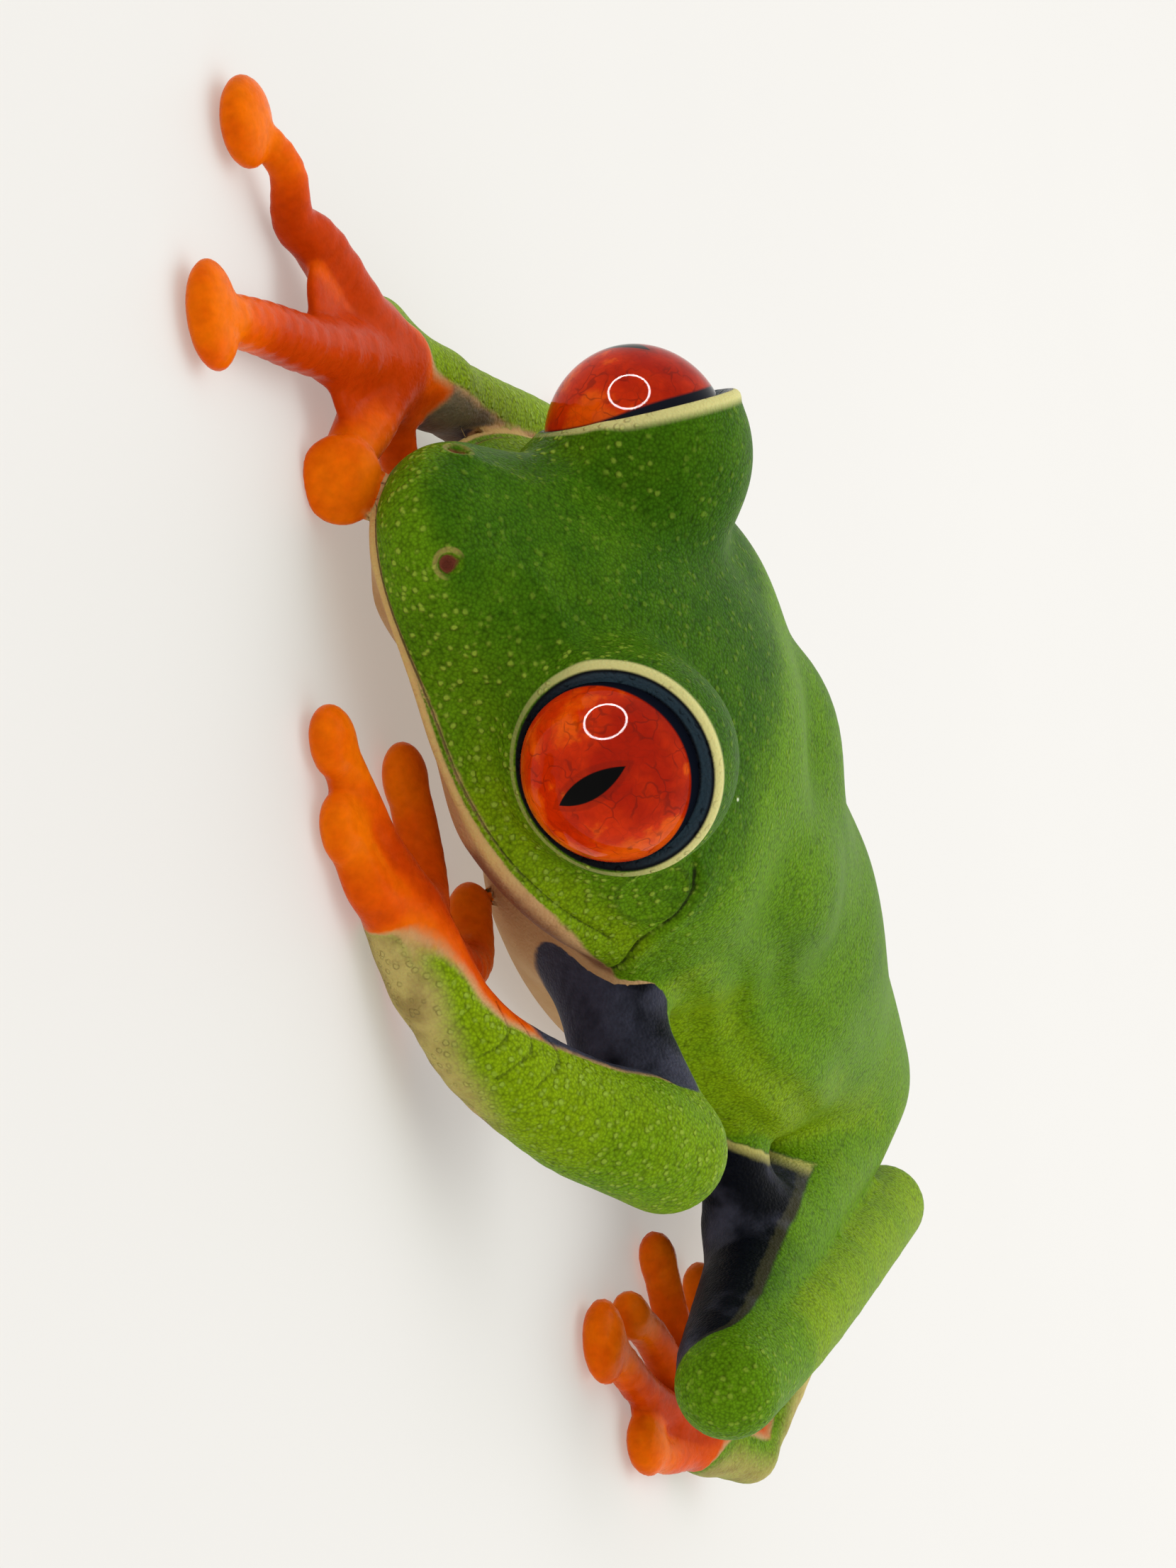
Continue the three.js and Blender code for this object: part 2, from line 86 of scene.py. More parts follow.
GAZE_UP = math.radians(10)
GAZE_OUT = math.radians(48)

FORWARD = unit([-0.074, -0.94, -0.333])
LEFT = np.array([0.997, -0.08, 0.002])
LEFT = unit(LEFT - LEFT @ FORWARD * FORWARD)
UP = np.cross(FORWARD, LEFT)
HEAD_AXES = np.stack([FORWARD, LEFT, UP])
WORLD_AXES = np.eye(3)
SIDES = {"left": 1, "right": -1}


def in_head(place):
    """The point that lies so far ahead of, to the left of and above the head's origin."""
    return HEAD_ORIGIN + np.asarray(place, float) @ HEAD_AXES


def gaze(side):
    """The direction that the lids of one eye face."""
    level = math.cos(GAZE_UP)
    turned = [level * math.cos(GAZE_OUT), side * level * math.sin(GAZE_OUT), math.sin(GAZE_UP)]
    return np.array(turned) @ HEAD_AXES


def eye_centre(side):
    """The centre of one eyeball."""
    return in_head([0, side * EYE_SPACING / 2, 0])


def lid_up(side):
    """The direction in the plane of one eye's lids that leads upwards."""
    facing = gaze(side)
    return unit(UP - UP @ facing * facing)


_low, _high = (np.array(corner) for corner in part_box("eye_left"))
SHIFT = (_low + _high) / 2 - eye_centre(1) * MM  # from the frog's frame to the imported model's


def placed(points):
    """Millimetres in the frog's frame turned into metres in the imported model's frame."""
    return np.asarray(points) * MM + SHIFT


# ---------------------------------------------------------------- fields
# A field gives the signed distance, roughly, from each point to a shape: negative inside.


class Form:
    """A field and the box that holds its shape."""

    def __init__(self, field, low, high):
        self.field = field
        self.low = low
        self.high = high


def ellipsoid(centre, radii, axes=WORLD_AXES):
    """The point's length in units of the radii, times itself less one, over its slope's length."""
    centre = np.asarray(centre, float)
    radii = np.asarray(radii, float)

    def field(points):
        scaled = (points - centre) @ axes.T / radii
        near = np.sqrt((scaled**2).sum(-1))
        slope = np.sqrt(((scaled / radii) ** 2).sum(-1)) + 1e-9
        return near * (near - 1) / slope

    reach = radii.max()
    return Form(field, centre - reach, centre + reach)


def ball(centre, radius):
    """A sphere: the distance from its centre less its radius."""
    return ellipsoid(centre, [radius] * 3)


def round_cone(start, end, radius_start, radius_end):
    """The hull of two balls: the distance to the slanted side between them, or to either ball."""
    start = np.asarray(start, float)
    end = np.asarray(end, float)
    length = np.linalg.norm(end - start)
    axis = (end - start) / length
    sine = (radius_start - radius_end) / length
    cosine = math.sqrt(1 - sine * sine)

    def field(points):
        offset = points - start
        along = offset @ axis
        square = (offset**2).sum(-1)
        out = np.sqrt(np.maximum(square - along**2, 0))
        foot = along * cosine - out * sine
        side = out * cosine + along * sine - radius_start
        first = np.sqrt(square) - radius_start
        last = np.hypot(along - length, out) - radius_end
        return np.where(foot < 0, first, np.where(foot > length * cosine, last, side))

    thickness = max(radius_start, radius_end)
    return Form(field, np.minimum(start, end) - thickness, np.maximum(start, end) + thickness)


def chain(points, radii):
    """Round cones strung along points, with a radius at each point."""
    links = zip(points, points[1:], radii, radii[1:])
    return [round_cone(a, b, radius_a, radius_b) for a, b, radius_a, radius_b in links]


TUBE_STEPS = 4  # round cones between one point of a tube and the next


def tube(points, radii):
    """Round cones strung along a smooth curve through the points (Catmull and Rom's), radii between."""
    points = np.asarray(points, float)
    before, after = 2 * points[0] - points[1], 2 * points[-1] - points[-2]
    knots = np.concatenate([[before], points, [after]])
    t = np.linspace(0, 1, TUBE_STEPS, endpoint=False)[:, None]
    curve = []
    for a, b, c, d in zip(knots, knots[1:], knots[2:], knots[3:]):
        bend = (2 * a - 5 * b + 4 * c - d) * t**2 + (3 * b - a - 3 * c + d) * t**3
        curve.append(b + ((c - a) * t + bend) / 2)
    curve = np.concatenate([*curve, points[-1:]])
    places = np.linspace(0, len(points) - 1, len(curve))
    return chain(curve, np.interp(places, np.arange(len(points)), radii))


def flat_pad(centre, towards, radii):
    """A level ellipsoid whose first radius lies along the line from one point to the next."""
    along = np.asarray(towards, float) - centre
    along = unit([along[0], along[1], 0])
    return ellipsoid(centre, radii, np.stack([along, np.cross([0, 0, 1], along), [0, 0, 1]]))


def merged(a, b, width):
    """The lower of two fields, rounded off over the width where they meet."""
    near = np.maximum(width - np.abs(a - b), 0) / width
    return np.minimum(a, b) - near**2 * width / 4


def carved(a, b, width):
    """The higher of two fields, rounded off in the same way."""
    return -merged(-a, -b, width)


def smooth_step(low, high, value):
    """0 below low, 1 above high, and 3t^2 - 2t^3 between them."""
    t = np.clip((value - low) / (high - low), 0, 1)
    return t * t * (3 - 2 * t)


def band(value, centre, width):
    """1 at the centre, falling off as a bell of that width."""
    return np.exp(-(((value - centre) / width) ** 2))


FAR = 4.0  # what a field is taken to be well away from its shape
MARGIN = 2.4  # how far round a form its field is worked out


def near_box(points, low, high):
    """The numbers of the points that lie in a box or within the margin of it."""
    chosen = np.arange(len(points))
    for axis in range(3):
        value = points[chosen, axis]
        chosen = chosen[(value > low[axis] - MARGIN) & (value < high[axis] + MARGIN)]
    return chosen


class Limb:
    """A part of the flesh: forms merged over a width, the width of its joint with the rest, and the
    tip if it is a digit."""

    def __init__(self, forms, width, joint, tip=None):
        self.forms = forms
        self.width = width
        self.joint = joint
        self.tip = tip
        self.low = np.min([form.low for form in forms], axis=0)
        self.high = np.max([form.high for form in forms], axis=0)

    def at(self, points):
        """The limb's field at scattered points. Each form is worked out only where it is near."""
        total = np.full(len(points), FAR)
        for form in self.forms:
            near = near_box(points, form.low, form.high)
            if len(near):
                total[near] = merged(total[near], form.field(points[near]), self.width)
        return total


# ---------------------------------------------------------------- anatomy
# Places and radii in millimetres. Limbs run outwards from the trunk, with a radius at each point.

# For each kind of limb, the width over which its forms merge and the width of its joint.
MERGING = {
    "head": (1.6, 2.0),
    "trunk": (2.0, 2.0),
    "upper_arm": (0.06, 2.0),
    "forearm": (0.06, 0.3),
    "hand": (0.6, 0.6),
    "groin": (0.15, 1.2),
    "thigh": (0.06, 1.6),
    "shank": (0.06, 0.25),
    "tarsus": (0.15, 0.3),
    "foot": (0.6, 0.5),
    "digit": (0.14, 0.6),
}


def head_ellipsoid(place, radii):
    """An ellipsoid placed and turned with the head."""
    return ellipsoid(in_head(place), radii, HEAD_AXES)


# Ellipsoids by their centre and radii: the head's ahead, to the left and up from its origin. Those of
# the sides are the left one's.
SKULL = {
    "braincase": ([-3.5, 0, -2.6], [9.5, 7.6, 4.4]),
    "muzzle": ([3.0, 0, -3.0], [6.4, 4.8, 2.6]),
    "snout": ([6.0, 0, -3.2], [3.1, 3.1, 1.75]),
    "lips": ([4.0, 0, -4.4], [4.4, 4.7, 1.8]),
    "lower jaw": ([-4.0, 0, -5.6], [10.7, 10.5, 2.5]),
}
CHEEK = ([-5.8, 5.8, -3.5], [5.8, 3.6, 3.4])
TORSO = {
    "neck": ([0, -8, 7.4], [6.8, 5.5, 4.6]),
    "chest": ([0, -1, 7.2], [7.3, 8, 5.6]),
    "loins": ([0, 7, 6.8], [7.2, 9, 5.2]),
    "breast": ([0, -1, 4.1], [7.6, 10.5, 3.7]),
    "belly": ([0, 9, 5.0], [7.6, 9, 4.3]),
    "rump": ([0, 14, 6.6], [5.6, 8, 3.95]),
    "vent": ([0, 21.3, 7.0], [3.5, 5.5, 2.6]),
}
TORSO_SIDE = {
    "shoulder blade": ([3.6, -3.0, 9.8], [2.9, 5.4, 2.9]),
    "side of the neck": ([5.2, -9.5, 7.4], [3.6, 5, 3.8]),
    "shoulder": ([6.2, -5.6, 6.9], [3.6, 5.5, 3.4]),
    "sagging breast": ([4.6, -1.8, 2.7], [4.2, 9.5, 2.6]),
    "flank": ([4.5, 6.4, 5.4], [4.4, 8.6, 4.2]),
}


def make_skull():
    """The head's ellipsoids, and on each side a cheek and the balls of an eye's mound and socket."""
    forms = [head_ellipsoid(*part) for part in SKULL.values()]
    for side in SIDES.values():
        centre, radii = CHEEK
        forms.append(head_ellipsoid(np.array(centre) * [1, side, 1], radii))
        forms.append(ball(eye_centre(side) - MOUND_DEPTH * gaze(side), MOUND_RADIUS))
        lifted = eye_centre(side) + SOCKET_LIFT * lid_up(side)
        forms.append(ball(lifted - SOCKET_DEPTH * gaze(side), SOCKET_RADIUS))
    return Limb(forms, *MERGING["head"])


def make_torso():
    """The trunk's ellipsoids, those of its sides on both."""
    forms = [ellipsoid(*part) for part in TORSO.values()]
    for side in SIDES.values():
        for centre, radii in TORSO_SIDE.values():
            forms.append(ellipsoid(np.array(centre) * [side, 1, 1], radii))
    return Limb(forms, *MERGING["trunk"])


# Radii of a digit's disc: along the digit, across it and upwards. The tilted one's are level, up its
# slope and along what it faces.
DISC = {
    "large": [1.6, 1.75, 0.8],
    "wide": [1.55, 1.95, 0.78],
    "middle": [1.4, 1.3, 0.8],
    "small": [1.2, 1.0, 0.78],
    "tilted": [1.65, 1.6, 0.85],
}
TILTED_FACING = unit([0.42, -0.62, 0.66])

ELBOW_LEFT = [16.2, -5.0, 7.3]
ELBOW_RIGHT = [-12.2, -8.5, 3.8]
SHOULDER_RADII = [2.4, 1.8]
PALM_RADIUS = 1.3
# A finger has its points after the palm's, its radii starting with that in the palm, and its disc.
ARMS = {
    "left": {
        "girth": 2.2,
        "upper": [[6.0, -7.0, 4.6], [10.2, -6.4, 5.2], ELBOW_LEFT],
        "fore": [
            ELBOW_LEFT,
            [16.4, -7.1, 6.6],
            [16.5, -9.5, 5.2],
            [15.8, -13.6, 3.2],
            [14.2, -16.4, 2.1],
        ],
        "fore_radii": [2.4, 2.4, 2.2, 1.8, 1.45],
        "palm": [12.2, -18.4, 1.5],
        "palm_pad": [2.4, 1.9, 1.05],
        "fingers": [
            (
                [[11.8, -13.4, 1.5], [10.2, -10.5, 1.2], [7.7, -9.8, 0.85]],
                [1.0, 0.95, 0.9, 0.85],
                "small",
            ),
            (
                [[10.4, -16.0, 1.3], [7.9, -16.1, 1.05], [5.9, -17.1, 0.8]],
                [1.1, 0.95, 0.8, 0.75],
                "middle",
            ),
            (
                [[10.4, -21.2, 1.2], [9.2, -22.6, 0.95], [8.2, -24.2, 0.75]],
                [1.0, 0.85, 0.75, 0.7],
                "middle",
            ),
            (
                [[12.5, -20.6, 1.2], [11.7, -21.8, 0.95], [10.9, -22.7, 0.75]],
                [1.0, 0.85, 0.75, 0.7],
                "middle",
            ),
        ],
    },
    "right": {
        "girth": 1.7,
        "upper": [[-5.6, -5.6, 4.8], [-9.0, -6.8, 4.4], ELBOW_RIGHT],
        "fore": [ELBOW_RIGHT, [-11.6, -12.2, 3.2], [-10.3, -16.2, 2.7], [-9.0, -20.2, 2.3]],
        "fore_radii": [1.65, 1.65, 1.55, 1.45],
        "palm": [-8.2, -23.6, 1.7],
        "palm_pad": [2.9, 2.4, 1.1],
        "fingers": [
            (
                [[-6.5, -20.8, 1.1], [-5.9, -18.6, 0.8], [-5.7, -17.8, 0.75]],
                [0.95, 0.75, 0.66, 0.6],
                "small",
            ),
            (
                [[-5.2, -24.4, 1.4], [-3.2, -25.4, 1.2], [-1.7, -25.9, 1.1]],
                [1.3, 1.1, 0.95, 0.8],
                "tilted",
            ),
            (
                [[-4.9, -29.8, 1.3], [-3.0, -34.0, 1.05], [-1.3, -37.5, 0.75]],
                [1.3, 1.05, 0.95, 0.85],
                "wide",
            ),
            (
                [[-9.2, -29.6, 1.3], [-9.2, -31.6, 0.95], [-10.1, -33.6, 1.35], [-10.5, -36.0, 0.75]],
                [1.1, 0.95, 0.75, 0.62, 0.6],
                "large",
            ),
        ],
    },
}

GROIN_RADII = [1.3, 1.6]
TARSUS_RADII = [1.6, 1.2, 1.15]
SOLE_RADIUS = 1.2
SOLE_PAD = [2.0, 1.5, 1.0]
TOE_RADII = [0.95, 0.75, 0.7]
# The groin's cone bridges the gap between flank and thigh. A toe has its points after the sole's,
# and its disc.
LEGS = {
    "left": {
        "thigh": [[3.2, 23.0, 5.4], [8.8, 17.6, 5.3], [14.0, 13.0, 5.5], [19.2, 8.6, 5.6]],
        "thigh_radii": [2.8, 2.6, 2.1, 1.8],
        "groin": ([7.6, 9.8, 5.0], [10.4, 13.6, 4.9]),
        "shank": [[20.3, 8.3, 6.0], [14.1, 15.8, 6.8], [4.1, 28.2, 6.9]],
        "shank_radii": [2.15, 2.0, 1.85],
        "tarsus": [[4.1, 28.2, 6.4], [10.0, 26.4, 4.0], [17.2, 23.2, 2.4]],
        "sole": [17.8, 19.6, 1.4],
        "toes": [
            ([[13.0, 20.8, 1.0], [10.4, 21.0, 0.8]], "small"),
            ([[13.6, 16.6, 0.95], [11.6, 14.9, 0.8]], "small"),
            ([[15.6, 14.6, 0.95], [15.5, 11.6, 0.8]], "small"),
            ([[18.2, 13.5, 0.95], [17.95, 9.6, 0.8], [17.9, 8.4, 0.75]], "large"),
            ([[19.5, 17.0, 1.0], [20.1, 15.0, 0.8], [20.0, 14.3, 0.75]], "middle"),
        ],
    },
    "right": {
        "thigh": [[-3.4, 23.2, 5.0], [-7.2, 14.5, 4.1], [-12.4, 1.6, 3.1]],
        "thigh_radii": [2.8, 2.7, 2.1],
        "groin": ([-5.6, 11.0, 3.6], [-7.6, 12.6, 3.8]),
        "shank": [[-13.4, 1.4, 3.3], [-14.4, 13.5, 3.3], [-12.8, 27.0, 3.4]],
        "shank_radii": [2.2, 2.2, 1.9],
        "tarsus": [[-12.8, 27.0, 3.1], [-15.6, 22.4, 2.4], [-18.0, 14.6, 1.7]],
        "sole": [-18.6, 11.0, 1.3],
        "toes": [
            ([[-16.2, 9.6, 0.95], [-14.6, 8.6, 0.8]], "small"),
            ([[-17.0, 7.4, 0.95], [-15.6, 5.2, 0.8]], "small"),
            ([[-18.0, 6.2, 0.95], [-17.2, 2.6, 0.8]], "small"),
            ([[-19.2, 5.4, 0.95], [-19.4, 1.4, 0.8], [-19.4, 0.4, 0.75]], "large"),
            ([[-20.6, 8.6, 1.0], [-21.9, 6.0, 0.8], [-22.2, 5.2, 0.75]], "middle"),
        ],
    },
}
# Skin between the roots of two fingers: a level ellipsoid's centre, where it points and its radii.
WEBS = {
    "left": [
        ([11.6, -15.6, 1.5], [10.0, -11.4, 1.2], [2.8, 1.5, 0.55]),
        ([11.2, -19.2, 1.3], [8.6, -19.4, 1.0], [1.9, 1.7, 0.5]),
    ],
    "right": [
        ([-7.5, -27.6, 1.3], [-7.2, -30.3, 1.0], [3.0, 2.1, 0.5]),
        ([-6.0, -25.8, 1.3], [-4.6, -27.2, 1.0], [2.4, 2.0, 0.5]),
    ],
}


def make_disc(points, kind):
    """A flat round pad on the floor, or one that is tilted up to face ahead and to the left."""
    centre = np.asarray(points[-1], float)
    if kind != "tilted":
        return flat_pad(centre, points[-2], DISC[kind])
    level = unit(np.cross([0, 0, 1], TILTED_FACING))
    axes = np.stack([level, np.cross(TILTED_FACING, level), TILTED_FACING])
    return ellipsoid(centre, DISC[kind], axes)


def make_digit(root, points, radii, kind):
    """A slim finger or toe that ends in a round disc."""
    points = [root, *points]
    forms = [*tube(points, radii), make_disc(points, kind)]
    return Limb(forms, *MERGING["digit"], tip=points[-1])


def make_flesh():
    """Every limb by name, in the order in which they are merged."""
    flesh = {"head": make_skull(), "trunk": make_torso()}
    for side, arm in ARMS.items():
        wrist = arm["fore"][-1]
        palm = arm["palm"]
        hand = tube([wrist, palm], [arm["fore_radii"][-1], PALM_RADIUS])
        hand.append(flat_pad(palm, wrist, arm["palm_pad"]))
        for centre, tip, radii in WEBS[side]:
            hand.append(flat_pad(centre, tip, radii))
        forms = {
            "upper_arm": tube(arm["upper"], [*SHOULDER_RADII, arm["girth"]]),
            "forearm": tube(arm["fore"], arm["fore_radii"]),
            "hand": hand,
        }
        for kind, parts in forms.items():
            flesh[f"{kind}_{side}"] = Limb(parts, *MERGING[kind])
        for number, (points, radii, kind) in enumerate(arm["fingers"], 1):
            flesh[f"finger_{number}_{side}"] = make_digit(palm, points, radii, kind)
    for side, leg in LEGS.items():
        heel = leg["tarsus"][-1]
        sole = leg["sole"]
        foot = tube([heel, sole], [TARSUS_RADII[-1], SOLE_RADIUS])
        foot.append(flat_pad(sole, heel, SOLE_PAD))
        forms = {
            "groin": [round_cone(*leg["groin"], *GROIN_RADII)],
            "thigh": tube(leg["thigh"], leg["thigh_radii"]),
            "shank": tube(leg["shank"], leg["shank_radii"]),
            "tarsus": tube(leg["tarsus"], TARSUS_RADII),
            "foot": foot,
        }
        for kind, parts in forms.items():
            flesh[f"{kind}_{side}"] = Limb(parts, *MERGING[kind])
        for number, (points, kind) in enumerate(leg["toes"], 1):
            radii = [*TOE_RADII[: len(points)], TOE_RADII[-1]]
            flesh[f"toe_{number}_{side}"] = make_digit(sole, points, radii, kind)
    return flesh


FLESH = make_flesh()


# ---------------------------------------------------------------- fine shapes of the head
# Both halves of the head are alike, so they are given as how far ahead, how far out and how far up.

LIP_LOW = -5.05  # height of the lips' parting where it is lowest
NOSTRIL = np.array([7.95, 2.53, -1.8])
NOSTRIL_FACING = unit([0.49, 0.48, 0.73])
EAR = np.array([-5.49, 9.17, -2.27])
EAR_RADIUS = 1.4
FOLD_DROP = np.array([0.5, 0.66, 0.89, 1.39, 2.37, 4.26, 5.54, 6.3])
FOLD_AHEAD = np.array([-5.2, -5.54, -6.09, -6.71, -7.08, -7.25, -7.88, -8.1])
FOLD_LEAN = np.array([0.45, 0.45, 0.5, 0.75, 0.97, 0.97, 0.93, 0.95])  # cosine of the fold's lean
BROW = np.array([[7.78, 2.02, -1.43], [5.08, 1.9, -0.34], [3.41, 3.33, -0.12], [3.13, 5.0, 0.9]])
FINE_REACH = 1.2  # how far from the head's surface its fine shapes are worked out
# Heights, depths and widths. A band gives where a bell's centre lies and how wide it is.
MOUTH_WIDTH = 0.1
LIP_HEIGHT = 0.07
LIP_BAND = (-0.3, 0.2)
JAW_BAND = (-0.2, -0.95)  # how far below the parting the jaw's inset begins and is full
NOSTRIL_REACH = 1.2  # how far along its axis a nostril's shape and marking reach
NOSTRIL_WIDTH = 0.3
NOSTRIL_RIM = 0.06
NOSTRIL_RIM_BAND = (0.52, 0.2)
EAR_DEPTH = 0.05
EAR_RIM = 0.07
EAR_RIM_WIDTH = 0.16
FOLD_WIDTH = 0.11
FOLD_RIDGE = 0.12  # height of the roll of skin behind the fold
FOLD_RIDGE_BAND = (-0.42, 0.3)
BROW_HEIGHT = 0.14
BROW_WIDTH = 0.55


def head_place(points):
    """How far ahead, out to the nearer side and up each point lies from the head's origin."""
    place = (points - HEAD_ORIGIN) @ HEAD_AXES.T
    place[:, 1] = np.abs(place[:, 1])
    return place


def mouth_height(ahead):
    """The height of the lips' parting: two parabolas, with the steeper one towards the snout."""
    return LIP_LOW + np.where(ahead > 2, 0.0115, 0.0047) * (ahead - 2) ** 2


def ear_fold(place):
    """How far each place is ahead of the fold behind the ear, square to the fold."""
    line = np.interp(-place[:, 2], FOLD_DROP, FOLD_AHEAD)
    return (place[:, 0] - line) * np.interp(-place[:, 2], FOLD_DROP, FOLD_LEAN)


def fold_share(place):
    """1 along the fold behind the ear, falling to 0 past its ends and towards the head's middle."""
    ends = smooth_step(0.35, 0.9, -place[:, 2]) * smooth_step(-6.9, -6.0, place[:, 2])
    return ends * smooth_step(6.5, 7.6, place[:, 1])


def nostril_away(place):
    """How far each place is from the nostril's axis, and far where it lies well along that axis."""
    offset = place - NOSTRIL
    along = offset @ NOSTRIL_FACING
    away = np.sqrt(np.maximum((offset**2).sum(-1) - along**2, 0))
    return np.where(np.abs(along) < NOSTRIL_REACH, away, FAR)


def line_distance(place, corners):
    """The distance from each place to the nearest point of a line with corners."""
    nearest = np.full(len(place), FAR)
    for start, end in zip(corners, corners[1:]):
        run = end - start
        share = np.clip((place - start) @ run / (run @ run), 0, 1)
        nearest = np.minimum(nearest, np.linalg.norm(place - start - share[:, None] * run, axis=1))
    return nearest


def lid_frame(points, side):
    """How far each point is out along the lids' axis, away from it, and how far up round the ring."""
    offset = points - eye_centre(side) - LID_LIFT * lid_up(side)
    along = offset @ gaze(side)
    away = np.sqrt(np.maximum((offset**2).sum(-1) - along**2, 0))
    return along, away, offset @ lid_up(side) / np.maximum(away, 0.1)


def lid_rims(points, distance):
    """Cuts the space in front of each eye's lids out of the head and lays a round margin on the rim."""
    for side in SIDES.values():
        offset = points - eye_centre(side)
        out = offset @ gaze(side)
        away_eye = np.sqrt(np.maximum((offset**2).sum(-1) - out**2, 0))
        space = np.maximum(LID_DEPTH - out, away_eye - LID_SPACE)
        distance = carved(distance, -space, LID_ROUNDING)
        along, away, _ = lid_frame(points, side)
        ring = np.hypot(away - LID_OPENING, along - LID_DEPTH + LID_INSET) - LID_MARGIN
        distance = merged(distance, ring, LID_ROUNDING)
    return distance


def detailed_head(points, distance, relief):
    """The head's field with its lid rims, lips, nostrils, ear drums, folds and brow ridges.

    Most are a bell across their line: added to the field it is a groove, taken from it a ridge."""
    distance = lid_rims(points, distance)
    near = np.flatnonzero(np.abs(distance) < FINE_REACH)
    if not len(near):
        return distance
    place = head_place(points[near])
    parted = place[:, 2] - mouth_height(place[:, 0])
    in_front = smooth_step(-6.6, -5.6, place[:, 0])
    change = relief.mouth * band(parted, 0, MOUTH_WIDTH) * in_front
    snout_side = smooth_step(0.5, 3.5, place[:, 0]) * smooth_step(1.5, 3.5, place[:, 1])
    change += relief.jaw * smooth_step(*JAW_BAND, parted) * snout_side
    change -= LIP_HEIGHT * band(parted, *LIP_BAND) * smooth_step(-2, 2, place[:, 0])
    away = nostril_away(place)
    change += relief.nostril * band(away, 0, NOSTRIL_WIDTH) - NOSTRIL_RIM * band(away, *NOSTRIL_RIM_BAND)
    ear = np.linalg.norm(place - EAR, axis=1)
    change += EAR_DEPTH * smooth_step(EAR_RADIUS + 0.05, EAR_RADIUS - 0.3, ear)
    change -= EAR_RIM * band(ear, EAR_RADIUS, EAR_RIM_WIDTH)
    fold = ear_fold(place)
    fold_shape = relief.fold * band(fold, 0, FOLD_WIDTH) - FOLD_RIDGE * band(fold, *FOLD_RIDGE_BAND)
    change += fold_share(place) * fold_shape
    change -= BROW_HEIGHT * band(line_distance(place, BROW), 0, BROW_WIDTH)
    distance[near] += change
    return distance


CREASES = np.array([-15.2, -14.15, -13.0])  # how far back the wrinkles across the left forearm lie
CREASE_DEPTH = 0.05
CREASE_WIDTH = 0.09
TIP_JOINT = 0.02  # width of a digit's joint where it touches the head
FLOOR_ROUNDING = 0.25
FLANK_FOLD_WIDTH = 1.7


def forearm_crease(points):
    """How far each point is from the nearest wrinkle across the left forearm, each a slight wave."""
    bent = points[:, 1] - 0.25 * np.sin(points[:, 0] * 2.1)
    crease = np.abs(bent[:, None] - CREASES).min(1)
    on_arm = (np.abs(points[:, 0] - 15.9) < 1.4) & (points[:, 2] > 3.4) & (np.abs(points[:, 1] + 14) < 2)
    return np.where(on_arm, crease, FAR)


def skin_field(points, relief):
    """The whole skin: every limb merged in turn, with its fine shapes, cut flat at the floor."""
    total = np.full(len(points), FAR)
    for name, limb in FLESH.items():
        near = near_box(points, limb.low, limb.high)
        if not len(near):
            continue
        own = limb.at(points[near])
        if name == "head":
            own = detailed_head(points[near], own, relief)
        elif name == "trunk":
            own += flank_folds(points[near], relief)
        elif name == "forearm_left":
            own += CREASE_DEPTH * band(forearm_crease(points[near]), 0, CREASE_WIDTH)
        width = limb.joint
        if limb.tip is not None:
            width = TIP_JOINT + width * smooth_step(0.4, 1.4, FLESH["head"].at(points[near]))
        total[near] = merged(total[near], own, width)
    return carved(total, -points[:, 2], FLOOR_ROUNDING)


def flank_folds(points, relief):
    """Shallow lengthwise folds of loose skin: a wave across the flank that wanders along it."""
    x, y, z = points.T
    across = z + 0.1 * y + 0.35 * np.sin(0.55 * y) + 0.5 * np.sin(0.23 * y + 1)
    share = smooth_step(3.6, 6.0, np.abs(x)) * smooth_step(-10, -5, y) * smooth_step(17, 11, y)
    share = share * smooth_step(5.0, 7.0, z) * smooth_step(12.0, 10.0, z)
    return relief.folds * share * np.sin(2 * math.pi * across / FLANK_FOLD_WIDTH)


# ---------------------------------------------------------------- surfaces

SKIN_LOW = [-27, -41, -0.6]  # the corners of the box that the skin is looked for in
SKIN_HIGH = [25, 34, 15]
SPLITTINGS = 3
EVENINGS = 3
EVENING_SHARE = 0.5
LEAST_SLOPE = 0.05  # what the square of the gradient is taken to be at least
LONGEST_MOVE = 0.3
# The longest edge of a face on the body, the head and the hands, and at finer shapes.
BODY_EDGE = 0.62
HEAD_EDGE = 0.36
HAND_EDGE = 0.34
CREASE_EDGE = 0.17
LIP_EDGE = 0.16
FOLD_EDGE = 0.16
LID_EDGE = 0.14
NOSTRIL_EDGE = 0.13


